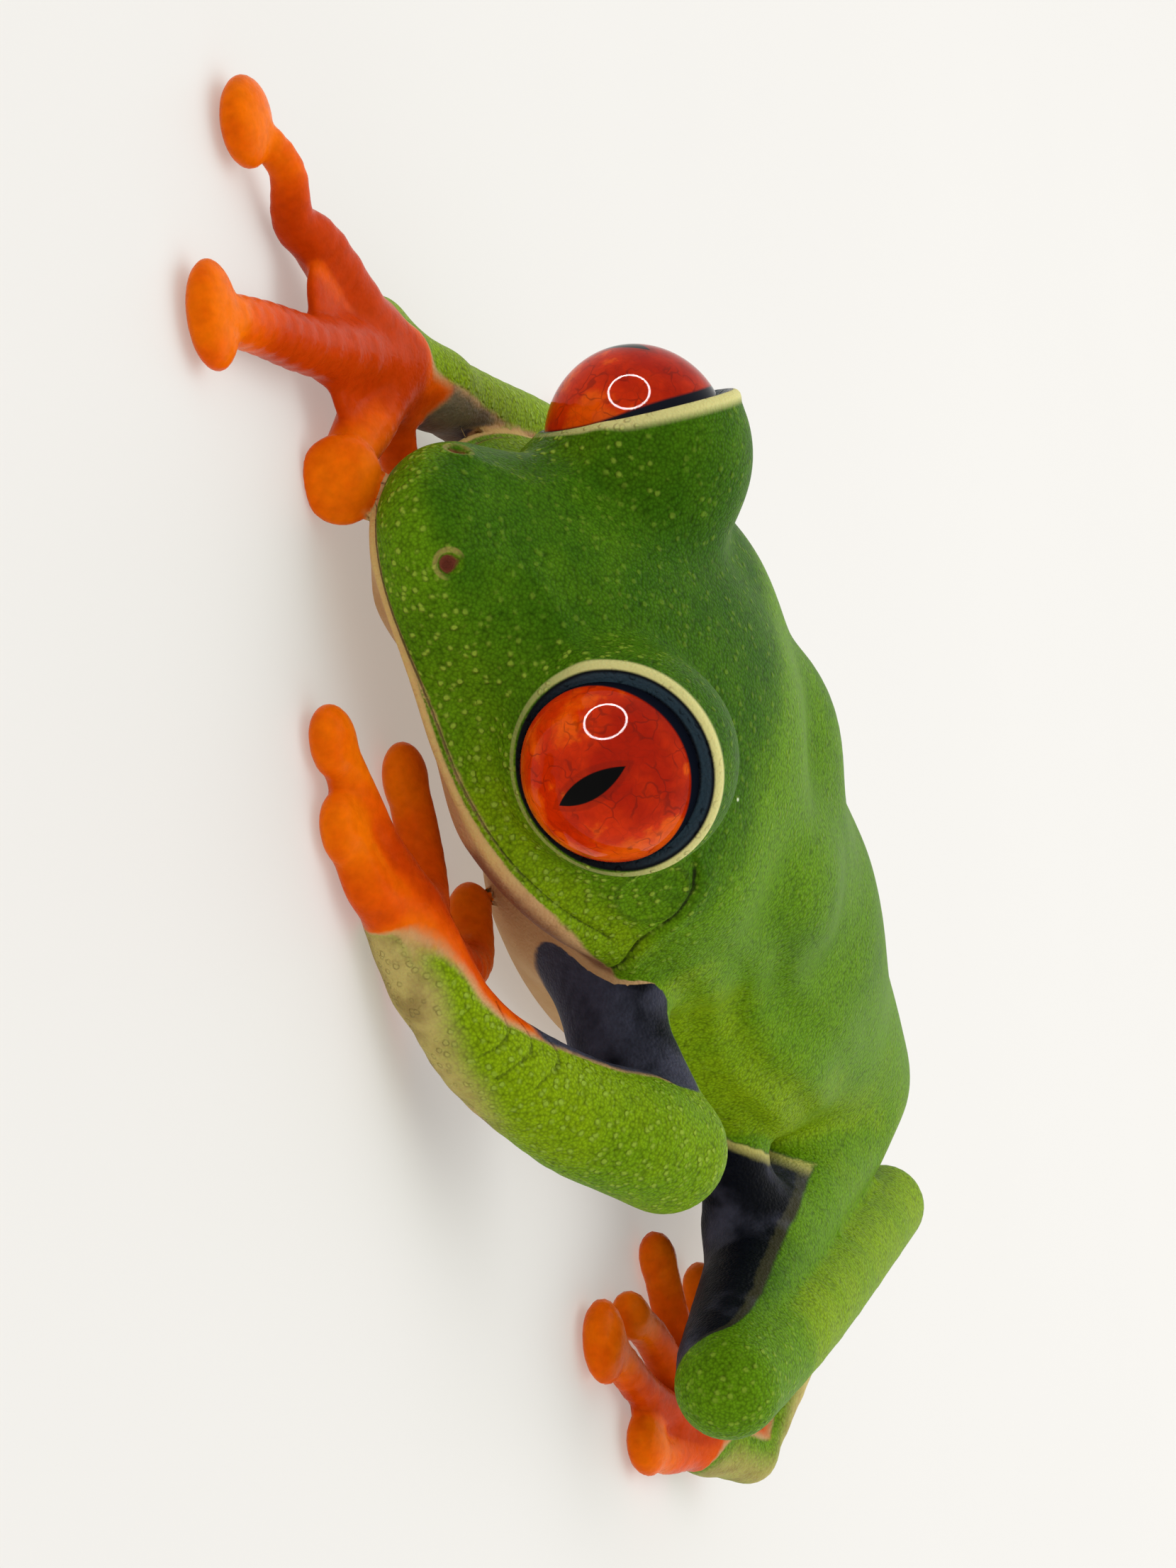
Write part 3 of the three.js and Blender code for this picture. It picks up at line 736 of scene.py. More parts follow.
def surface_nets(field, low, high, spacing):
    """One vertex in each grid cell that the surface crosses, at the mean of its edges' crossings.

    Each grid edge whose ends differ in sign is ringed by four such cells, which make a quad."""
    axes = [np.arange(a, b + spacing, spacing) for a, b in zip(low, high)]
    shape = [len(axis) for axis in axes]
    grid = np.stack(np.meshgrid(*axes, indexing="ij"), -1)
    values = field(grid.reshape(-1, 3)).reshape(shape)
    inside = values < 0
    total = np.zeros([n - 1 for n in shape] + [3])
    count = np.zeros([n - 1 for n in shape])
    for axis in range(3):
        ahead = [slice(None)] * 3
        behind = [slice(None)] * 3
        ahead[axis] = slice(1, None)
        behind[axis] = slice(None, -1)
        a = values[tuple(behind)]
        b = values[tuple(ahead)]
        crossed = inside[tuple(behind)] != inside[tuple(ahead)]
        share = np.where(crossed, a / np.where(crossed, a - b, 1), 0)
        crossing = grid[tuple(behind)].copy()
        crossing[..., axis] += share * spacing
        crossing *= crossed[..., None]
        across = [k for k in range(3) if k != axis]
        for first in (0, 1):
            for second in (0, 1):
                part = [slice(None)] * 3
                part[across[0]] = slice(first, shape[across[0]] - 1 + first)
                part[across[1]] = slice(second, shape[across[1]] - 1 + second)
                total += crossing[tuple(part)]
                count += crossed[tuple(part)]
    used = count > 0
    number = np.full(used.shape, -1)
    number[used] = np.arange(used.sum())
    faces = []
    for axis in range(3):
        one, two = (axis + 1) % 3, (axis + 2) % 3
        behind = [slice(1, -1)] * 3
        ahead = [slice(1, -1)] * 3
        behind[axis] = slice(0, -1)
        ahead[axis] = slice(1, None)
        start = np.argwhere(inside[tuple(behind)] != inside[tuple(ahead)])
        start += [0 if k == axis else 1 for k in range(3)]
        ring = []
        for back_one, back_two in ((1, 1), (0, 1), (0, 0), (1, 0)):
            cell = start.copy()
            cell[:, one] -= back_one
            cell[:, two] -= back_two
            ring.append(number[tuple(cell.T)])
        quad = np.stack(ring, 1)
        outward = inside[tuple(start.T)]
        quad = np.where(outward[:, None], quad, quad[:, ::-1])
        faces += [quad[:, [0, 1, 2]], quad[:, [0, 2, 3]]]
    return total[used] / count[used][:, None], np.concatenate(faces)


def split_edges(points, faces, longest):
    """Splits at its middle each edge longer than the limit there. A face takes one new edge where one
    side was split, two where two were, and three where all were."""
    sides = np.sort(faces[:, [0, 1, 1, 2, 2, 0]].reshape(-1, 2), axis=1)
    edges, which = np.unique(sides[:, 0] * len(points) + sides[:, 1], return_inverse=True)
    a, b = points[edges // len(points)], points[edges % len(points)]
    middle = (a + b) / 2
    split = np.linalg.norm(a - b, axis=1) > longest(middle)
    number = np.full(len(edges), -1)
    number[split] = len(points) + np.arange(split.sum())
    mids = number[which.reshape(-1)].reshape(-1, 3)
    points = np.concatenate([points, middle[split]])
    count = (mids >= 0).sum(1)
    made = [faces[count == 0]]
    for cuts in (1, 2):
        face, mid = faces[count == cuts], mids[count == cuts]
        turn = (mid >= 0).argmax(1) if cuts == 1 else ((mid < 0).argmax(1) + 1) % 3
        order = (turn[:, None] + np.arange(3)) % 3
        v = np.take_along_axis(face, order, 1)
        m = np.take_along_axis(mid, order, 1)
        if cuts == 1:
            made += [np.stack([v[:, 0], m[:, 0], v[:, 2]], 1), np.stack([m[:, 0], v[:, 1], v[:, 2]], 1)]
        else:
            made.append(np.stack([m[:, 0], v[:, 1], m[:, 1]], 1))
            first = np.linalg.norm(points[v[:, 0]] - points[m[:, 1]], axis=1)
            second = np.linalg.norm(points[m[:, 0]] - points[v[:, 2]], axis=1)
            shorter = (first < second)[:, None]
            corner = np.where(shorter, m[:, [1]], v[:, [2]])
            made.append(np.concatenate([v[:, [0]], m[:, [0]], corner], 1))
            corner = np.where(shorter, v[:, [0]], m[:, [0]])
            made.append(np.concatenate([corner, m[:, [1]], v[:, [2]]], 1))
    v, m = faces[count == 3], mids[count == 3]
    for corner in range(3):
        made.append(np.stack([v[:, corner], m[:, corner], m[:, corner - 1]], 1))
    made.append(m)
    return points, np.concatenate(made)


TETRAHEDRON = np.array([[1, -1, -1], [-1, -1, 1], [-1, 1, -1], [1, 1, 1]], float)
SAMPLE_REACH = 0.02  # how far along each axis its corners lie from the point


def slope(field, points):
    """The field and its gradient at each point, from four samples at the corners of a tetrahedron."""
    samples = [field(points + corner * SAMPLE_REACH) for corner in TETRAHEDRON]
    gradient = sum(value[:, None] * corner for value, corner in zip(samples, TETRAHEDRON))
    return sum(samples) / 4, gradient / (4 * SAMPLE_REACH)


def onto_surface(field, points):
    """One Newton step, of limited length: down the gradient by the field over the gradient's square."""
    value, gradient = slope(field, points)
    square = np.maximum((gradient**2).sum(1), LEAST_SLOPE)
    step = gradient * (value / square)[:, None]
    length = np.linalg.norm(step, axis=1, keepdims=True)
    step *= np.minimum(1, LONGEST_MOVE / np.maximum(length, 1e-9))
    return points - step, unit(gradient + 1e-12)


def evened(points, faces, normals, share):
    """Each point moved by a share of the way to its neighbours' mean, along the surface only."""
    a = faces[:, [0, 1, 2]].reshape(-1)
    b = faces[:, [1, 2, 0]].reshape(-1)
    count = np.bincount(a, minlength=len(points))
    mean = np.stack([np.bincount(a, points[b, k], len(points)) for k in range(3)], 1)
    move = mean / np.maximum(count, 1)[:, None] - points
    move -= (move * normals).sum(1, keepdims=True) * normals
    return points + share * move


def finest(points):
    """The longest edge allowed at each point: finer on the head and hands, finest at its fine shapes."""
    limit = np.full(len(points), BODY_EDGE)
    place = head_place(points)
    ahead, out, up = place.T
    limit[(ahead > -9) & (up > -7) & (out < 12)] = HEAD_EDGE
    limit[(points[:, 2] < 3.2) & (points[:, 1] < -9)] = HAND_EDGE
    limit[forearm_crease(points) < 0.3] = CREASE_EDGE
    limit[(np.abs(up - mouth_height(ahead)) < 0.3) & (ahead > -6.6)] = LIP_EDGE
    limit[(fold_share(place) > 0) & (np.abs(ear_fold(place)) < 0.3)] = FOLD_EDGE
    limit[nostril_away(place) < 0.8] = NOSTRIL_EDGE
    for side in SIDES.values():
        along, away, _ = lid_frame(points, side)
        limit[np.hypot(away - LID_OPENING, along - LID_DEPTH) < 0.55] = LID_EDGE
    return limit


def make_skin(relief, spacing):
    """The skin's vertices, faces and normals: surface nets, finer where there is detail, and evened."""

    def field(points):
        return skin_field(points, relief)

    points, faces = surface_nets(field, SKIN_LOW, SKIN_HIGH, spacing)
    points, normals = onto_surface(field, points)
    for _ in range(SPLITTINGS):
        points, faces = split_edges(points, faces, finest)
        points, normals = onto_surface(field, points)
    for _ in range(EVENINGS):
        points = evened(points, faces, normals, EVENING_SHARE)
        points, normals = onto_surface(field, points)
    return points, faces, onto_surface(field, points)[1]


# ---------------------------------------------------------------- markings
# Most markings are the signed distance in millimetres to their edge, positive inside, so that the
# material can draw the edge sharp and ragged. Limbs give their own, blended where they meet. Edging
# is the strength of the green's pale edge, tone runs from dark to pale, and grain is how grainy the
# green is.

ABSENT = -3.0
PRESENT = 3.0
NEARNESS = 9  # how fast the weight of a limb's markings falls with the distance from it
LEAST_WEIGHT = 1e-6
MARKINGS = ["green", "orange", "navy", "tan", "edging", "tone", "grain"]


class Centreline:
    """Where points lie about a limb's centre line: their offset from it, how far along it they are, and
    the level direction square to it there."""

    def __init__(self, points, path):
        path = np.asarray(path, float)
        lengths = np.linalg.norm(np.diff(path, axis=0), axis=1)
        self.length = lengths.sum()
        best = np.full(len(points), np.inf)
        self.offset = np.zeros(points.shape)
        self.along = np.zeros(len(points))
        self.front = np.zeros(points.shape)
        travelled = 0.0
        for start, end, length in zip(path, path[1:], lengths):
            run = (end - start) / length
            share = np.clip((points - start) @ run, 0, length)
            offset = points - start - share[:, None] * run
            distance = np.linalg.norm(offset, axis=1)
            nearer = distance < best
            best[nearer] = distance[nearer]
            self.offset[nearer] = offset[nearer]
            self.along[nearer] = travelled + share[nearer]
            self.front[nearer] = unit(np.cross(run, [0, 0, 1]))
            travelled += length


def mark_head(points, normals, side):
    """Green down to the lips and the jaw's edge, dark on top, grainy and yellower low on the sides."""
    place = head_place(points)
    ahead, up = place[:, 0], place[:, 2]
    jaw = np.interp(ahead, [-14, -7.8, -4.85, -2.8, 0, 1.5], [-6.8, -6.18, -5.3, -5.08, -5.2, -5.05])
    facing_up = normals @ UP
    top = smooth_step(0.25, 0.85, facing_up) * smooth_step(-4.0, -1.5, up)
    behind = smooth_step(-6.5, -10.0, ahead)
    low = smooth_step(-1.8, -4.6, up) * smooth_step(6.5, 1.0, ahead)
    side_tone = -0.5 + 1.25 * low + 0.5 * smooth_step(7.0, 9.0, ahead)
    edge = up - np.where(ahead > 1.5, mouth_height(ahead), jaw)
    return {
        "green": np.maximum(edge, 4 * (normals[:, 2] - 0.72)),
        "tone": (side_tone * (1 - top) - 0.75 * top) * (1 - behind) + 0.1 * behind,
        "grain": (1 - 0.75 * top) * (1 - behind) + 0.3 * behind,
    }


FLANK_Y = [-14, -10, -5, 1.4, 9.7, 13, 17, 22, 30]
FLANK_EDGE = [5.4, 5.9, 5.8, 5.5, 5.3, 5.1, 5.3, 6.0, 6.6]  # height of the back's lower edge
NAVY_DEPTH = 2.9  # how far the navy reaches below that edge
NAVY_START = -4.5  # how far forward it reaches
BAR_SPACING = 3.1


def mark_trunk(points, normals, side):
    """A green back, and below its pale edge a navy flank with upright pale bars over a pale belly."""
    _, y, z = points.T
    above = z - np.interp(y, FLANK_Y, FLANK_EDGE)
    share = (y + 0.5 * z) / BAR_SPACING
    bars = 1.0 - np.abs(share - np.round(share)) * 5.5
    return {
        "green": above,
        "navy": np.minimum(np.minimum(above + NAVY_DEPTH, y - NAVY_START), -bars * 0.9),
        "edging": smooth_step(8, 12, y),
        "tone": -0.25 + 0.95 * smooth_step(11.5, 7.5, z),
        "grain": 0.18 + 0.3 * smooth_step(-4, -10, y),
    }


def mark_upper_arm(points, normals, side):
    """Green along the top and back, navy in front, and pale underneath."""
    line = Centreline(points, ARMS[side]["upper"])
    _, back, up = line.offset.T
    elbow = line.along - line.length + 1.2
    return {
        "green": np.maximum(0.8 * back + 0.6 * up - 1.1, elbow),
        "navy": up + (2.3 if side == "left" else 4.0),
        "tone": np.full(len(points), 0.5),
        "grain": 0.4 + 0.5 * smooth_step(-1, 1, elbow),
    }


# Lines at which the colours of the forearms part: the inner and the outer one on the left, and the
# inner one on the right.
INNER_Y = [-21.6, -19.95, -18.43, -16.47, -15.13, -12.9, -9.5, -7.0, -5.0]
INNER_X = [11.98, 13.04, 13.86, 14.73, 15.3, 15.4, 15.3, 14.9, 14.0]
INNER_Z = [1.89, 2.24, 2.82, 3.79, 4.43, 5.5, 6.9, 8.0, 8.4]
OUTER_Y = [-21.0, -19.28, -17.67, -15.53, -13.43, -11.0, -8.0]
OUTER_X = [12.9, 13.94, 15.15, 16.63, 17.75, 18.6, 19.2]
OUTER_Z = [1.3, 1.7, 2.33, 2.12, 2.6, 2.6, 2.0]
RIGHT_Y = [-31.5, -30.67, -27.8, -25.71, -23.41, -20.3, -16.54, -12.0]
RIGHT_X = [-9.6, -8.6, -8.7, -8.5, -8.2, -8.9, -10.0, -11.8]
WRIST = {"left": -13.3, "right": -21.2}  # the orange of a hand reaches back to here


def mark_forearm(points, normals, side):
    """Green outside with a pale lower edge; inside, orange up to the wrist and dark behind it."""
    x, y, z = points.T
    if side == "left":
        inside = 0.8 * (np.interp(y, INNER_Y, INNER_X) - x) - 0.6 * (z - np.interp(y, INNER_Y, INNER_Z))
        below = 0.7 * (x - np.interp(y, OUTER_Y, OUTER_X)) - 0.7 * (z - np.interp(y, OUTER_Y, OUTER_Z))
        inside = np.maximum(np.minimum(inside, -0.25 - below), -21.9 - y)
        pale = np.minimum(below + 0.5, -10.2 - y)
    else:
        inside = 0.9 * (x - np.interp(y, RIGHT_Y, RIGHT_X)) + 0.2 * (1.6 - z)
        pale = np.minimum(inside - 0.3, -0.05)
    hand = np.maximum(WRIST[side] - y, (12.8 - x) if side == "left" else (x + 7.0))
    return {
        "green": -inside,
        "orange": np.minimum(inside, hand),
        "navy": np.minimum(inside, 0.3 - hand),
        "tan": pale if side == "left" else np.minimum(pale, 0.2 - 3 * hand),
        "tone": 0.5 + 0.6 * smooth_step(-8, -14, y) - 1.8 * smooth_step(-0.5, 1.5, np.minimum(inside, hand)),
        "grain": np.full(len(points), 0.9),
    }


def mark_digit(points, tip):
    """Orange all round, brighter towards the disc."""
    from_tip = np.linalg.norm(points - tip, axis=1)
    return {"orange": np.full(len(points), PRESENT), "tone": 1.3 - 0.42 * from_tip}


GROIN = np.array([6.92, 15.68, 5.65])  # a point on the edge of the flank's green over the thigh
GROIN_FACING = np.array([0.849, 0.305, -0.432])


def mark_thigh(points, normals, side):
    """A green strip on top with a pale edge, and navy on the face that the shank doesn't cover. Its tone
    is painted paler near the hip as a sheen and runs darker towards the knee.
    """
    line = Centreline(points, LEGS[side]["thigh"])
    front = (line.offset * line.front).sum(1) * SIDES[side]
    up = line.offset[:, 2]
    strip = 0.72 * up - 0.7 * front if side == "left" else up - 0.9
    groin = (GROIN - points * [SIDES[side], 1, 1]) @ GROIN_FACING
    return {
        "green": np.maximum(strip, groin),
        "navy": np.full(len(points), PRESENT),
        "edging": smooth_step(-0.6, 0.1, groin) * 0.95 + 0.05,
        # Painted sheen: paler near the hip, darker towards the knee.
        "tone": 0.35 - 0.95 * smooth_step(5, 18, line.along),
        "grain": np.full(len(points), 0.1),
    }


def mark_shank(points, normals, side):
    """Green above and outside, pale underneath, and navy at the knee."""
    line = Centreline(points, LEGS[side]["shank"])
    outer = line.offset[:, 0] * SIDES[side]
    knee = smooth_step(7, 1, line.along)
    return {
        "green": 0.9 * line.offset[:, 2] + 0.45 * outer + 1.1 + knee,
        "navy": knee * 4 - 1,
        "tone": 0.7 - 0.9 * knee,
        "grain": 0.12 + 0.5 * knee,
    }


def mark_tarsus(points, normals, side):
    """Pale green outside and above, orange inside."""
    leg = LEGS[side]
    line = Centreline(points, [*leg["tarsus"], leg["sole"]])
    outer = 0.8 * line.offset[:, 0] * SIDES[side] + 0.5 * line.offset[:, 1]
    outer = outer + 0.5 * line.offset[:, 2] + smooth_step(16, 8, line.along)
    return {
        "green": outer - 0.2,
        "tan": outer - 0.95,
        "orange": 0.2 - outer,
        "tone": np.full(len(points), 0.4),
        "grain": np.full(len(points), 0.3),
    }


MARKERS = {
    "head": mark_head,
    "trunk": mark_trunk,
    "upper_arm": mark_upper_arm,
    "forearm": mark_forearm,
    "hand": mark_forearm,
    "groin": mark_thigh,
    "thigh": mark_thigh,
    "shank": mark_shank,
    "tarsus": mark_tarsus,
    "foot": mark_tarsus,
}
FINE_MARKINGS = [
    "mouth",
    "lips",
    "ahead",
    "nostril",
    "fold",
    "ear",
    "brown_mottle_and_shade",
    "crease",
    "rim",
    "rim_up",
    "facing_up",
]
# What a limb that doesn't set one of these has for it. A distance that it doesn't set is absent.
REST = {"tone": 0.0, "grain": 0.0, "edging": 0.0}


def blended_markings(points, normals):
    """Every limb's markings, weighted by exp(-the nearness times the limb's field)."""
    totals = {name: np.zeros(len(points)) for name in MARKINGS}
    weight = np.zeros(len(points))
    for name, limb in FLESH.items():
        near = near_box(points, limb.low, limb.high)
        share = np.exp(-NEARNESS * np.clip(limb.at(points[near]), -2, FAR))
        near = near[share > LEAST_WEIGHT]
        share = share[share > LEAST_WEIGHT]
        kind, _, side = name.rpartition("_")
        if limb.tip is None:
            marks = MARKERS[kind if side in SIDES else name](points[near], normals[near], side)
        else:
            marks = mark_digit(points[near], limb.tip)
        weight[near] += share
        for mark, total in totals.items():
            value = marks.get(mark, REST.get(mark, ABSENT))
            total[near] += share * np.clip(value, ABSENT, PRESENT)
    return {name: total / np.maximum(weight, 1e-12) for name, total in totals.items()}


def fine_markings(points, normals):
    """Distances that the material draws the mouth, nostrils, folds, ears, creases and lids with, and paints
    the shade under the jaw by.
    """
    place = head_place(points)
    ahead = place[:, 0]
    head = FLESH["head"].at(points)
    is_head = smooth_step(0.35, 0.1, head)
    body = np.minimum(head, FLESH["trunk"].at(points))
    arms = np.minimum(*[FLESH[f"upper_arm_{side}"].at(points) for side in SIDES])
    off_arm = np.minimum(2 * arms - 0.3, 1.5 - 3 * body)
    below_jaw = -5.2 - 0.1 * np.maximum(-4 - ahead, 0) - place[:, 2]
    under_head = np.minimum(below_jaw, 1.0 - ahead)
    under_head = np.minimum(under_head, np.minimum(ahead + 9.5, place[:, 2] + 8.6))
    marks = {
        "mouth": place[:, 2] - mouth_height(ahead),
        "lips": is_head * smooth_step(-6.8, -5.6, ahead) * smooth_step(0.78, 0.68, normals[:, 2]),
        "ahead": ahead,
        "nostril": nostril_away(place),
        "fold": np.hypot(ear_fold(place), 1.2 * (1 - fold_share(place))) + smooth_step(0.5, 1.2, body),
        "ear": EAR_RADIUS - np.linalg.norm(place - EAR, axis=1) + np.minimum(place[:, 1] - 6.5, 0),
        # Painted shade: a brownish patch on the sides of the throat under the jaw, kept off the upper arms.
        "brown_mottle_and_shade": np.minimum(np.minimum(under_head, place[:, 1] - 7.0), off_arm),
        "crease": forearm_crease(points),
        "rim": np.full(len(points), FAR),
        "rim_up": np.zeros(len(points)),
        "facing_up": normals[:, 2],
    }
    for side in SIDES.values():
        along, away, up_round = lid_frame(points, side)
        near = (np.abs(along - LID_DEPTH) < 0.9) & (np.abs(away - LID_OPENING) < 1.2)
        slanted = away - LID_OPENING - 0.6 * (along - LID_DEPTH)
        marks["rim"] = np.where(near, slanted, marks["rim"])
        marks["rim_up"] = np.where(near, up_round, marks["rim_up"])
    return marks


# ---------------------------------------------------------------- shader expressions

LINE_CORE = 0.45  # the share of a line's width over which it stays at full strength


class Value:
    """One number that nodes work out. Python's operators on it add Math nodes."""

    def __init__(self, paint, socket):
        self.paint = paint
        self.socket = socket

    def __add__(self, other):
        return self.paint.math("ADD", self, other)

    def __radd__(self, other):
        return self.paint.math("ADD", other, self)

    def __sub__(self, other):
        return self.paint.math("SUBTRACT", self, other)

    def __rsub__(self, other):
        return self.paint.math("SUBTRACT", other, self)

    def __mul__(self, other):
        return self.paint.math("MULTIPLY", self, other)

    def __rmul__(self, other):
        return self.paint.math("MULTIPLY", other, self)

    def __truediv__(self, other):
        return self.paint.math("DIVIDE", self, other)

    def __rtruediv__(self, other):
        return self.paint.math("DIVIDE", other, self)

    def __abs__(self):
        return self.paint.math("ABSOLUTE", self)


class Paint:
    """The nodes of a material, a lamp or the surroundings, and short ways to add to them."""

    def __init__(self, owner):
        self.owner = owner
        self.owner.use_nodes = True
        self.tree = self.owner.node_tree
        self.shader = self.tree.nodes.get("Principled BSDF")
        self.place = self.tree.nodes.new("ShaderNodeTexCoord").outputs["Object"]

    def node(self, kind, settings, sockets):
        """A node of this type, with its settings made before its sockets' values and links."""
        made = self.tree.nodes.new(kind)
        for name, setting in settings.items():
            setattr(made, name, setting)
        for name, value in sockets.items():
            self.feed(made.inputs[name], value)
        return made

    def feed(self, socket, value):
        """Gives a socket a number, a colour or another node's output."""
        if isinstance(value, Value):
            value = value.socket
        if isinstance(value, bpy.types.NodeSocket):
            self.tree.links.new(value, socket)
        elif socket.type == "RGBA" and len(value) == 3:
            socket.default_value = (*value, 1)
        else:
            socket.default_value = value

    def math(self, operation, *values):
        """A Math node on one, two or three values."""
        made = self.node("ShaderNodeMath", {"operation": operation}, dict(enumerate(values)))
        return Value(self, made.outputs[0])

    def marking(self, name):
        """A number stored on the mesh's points."""
        made = self.node("ShaderNodeAttribute", {"attribute_name": name}, {})
        return Value(self, made.outputs["Fac"])

    def step(self, value, low, high):
        """0 below low, 1 above high and a smooth rise between."""
        sockets = {0: value, 1: low, 2: high, 3: 0.0, 4: 1.0}
        made = self.node("ShaderNodeMapRange", {"interpolation_type": "SMOOTHSTEP"}, sockets)
        return Value(self, made.outputs[0])

    def line(self, value, middle, width):
        """1 where the value is the middle one, falling to 0 at the width on both sides."""
        return 1 - self.step(abs(value - middle), width * LINE_CORE, width)

    def noise(self, size, detail):
        """Cloudy noise from 0 to 1 whose lumps are this many millimetres across."""
        sockets = {"Vector": self.place, "Scale": 1 / (size * MM), "Detail": detail}
        made = self.node("ShaderNodeTexNoise", {}, sockets)
        return Value(self, made.outputs[0])

    def cells(self, size, feature="F1", vector=None):
        """The distance within Voronoi cells of this many millimetres, and the node that gives it."""
        sockets = {"Vector": vector or self.place, "Scale": 1 / (size * MM)}
        made = self.node("ShaderNodeTexVoronoi", {"feature": feature}, sockets)
        return Value(self, made.outputs["Distance"]), made

    def warped(self, size, strength):
        """Object coordinates pushed about by noise, by up to this many millimetres."""
        sockets = {"Vector": self.place, "Scale": 1 / (size * MM), "Detail": 2.0}
        cloud = self.node("ShaderNodeTexNoise", {}, sockets)
        centred = self.vector_math("SUBTRACT", cloud.outputs["Color"], (0.5, 0.5, 0.5))
        pushed = self.vector_math("MULTIPLY", centred, (2 * strength * MM,) * 3)
        return self.vector_math("ADD", self.place, pushed)

    def vector_math(self, operation, first, second):
        """A Vector Math node on two vectors."""
        made = self.node("ShaderNodeVectorMath", {"operation": operation}, {0: first, 1: second})
        return made.outputs[0]

    def mixed(self, share, under, over):
        """One colour laid over another."""
        sockets = {0: share, 6: under, 7: over}
        return self.node("ShaderNodeMix", {"data_type": "RGBA"}, sockets).outputs[2]

    def scaled(self, colour, factor):
        """A colour made lighter or darker by a factor."""
        made = self.node("ShaderNodeVectorMath", {"operation": "SCALE"}, {0: colour, "Scale": factor})
        return made.outputs[0]

    def finish(self, colour, roughness, height, depth):
        """Feeds the shader: colour, roughness, and a bump of this many millimetres."""
        self.feed(self.shader.inputs["Base Color"], colour)
        self.feed(self.shader.inputs["Roughness"], roughness)
        bump = self.node("ShaderNodeBump", {}, {"Strength": 1.0, "Distance": depth * MM, "Height": height})
        self.feed(self.shader.inputs["Normal"], bump.outputs["Normal"])

    def constants(self, values):
        """Shader sockets that are the same all over the surface, set on the sockets themselves."""
        for name, value in values.items():
            self.shader.inputs[name].default_value = value


# ---------------------------------------------------------------- materials

# Sizes in millimetres of the clouds and pores of the skin, of the spacing of its painted glints, and of the
# iris's clouds and veins.
FINE_CLOUD = 0.35
MEDIUM_CLOUD = 1.3
BROAD_CLOUD = 5.0
PORE_SIZE = 0.13
# The spacing and near-white colour of the painted glints on the skin.
GLINT_SPACING = 6.0
GLINT_TINT = (0.8, 0.9, 0.65)
PORE_SHADE = 0.85  # how much darker the skin is between its pores
RAGGEDNESS = (0.5, 0.25)  # how far clouds and fine clouds push the edges of the colours about
IRIS_CLOUD = 1.6
IRIS_GRAIN = 0.3
IRIS_RELIEF = 0.004
VEIN_SPACING = 0.95
SMALL_VEIN_SPACING = 0.42
VEIN_PATCH = 1.1
FLOOR_CLOUD = 60.0
FLOOR_RELIEF = 0.01
FLOOR_SHADE = 0.96


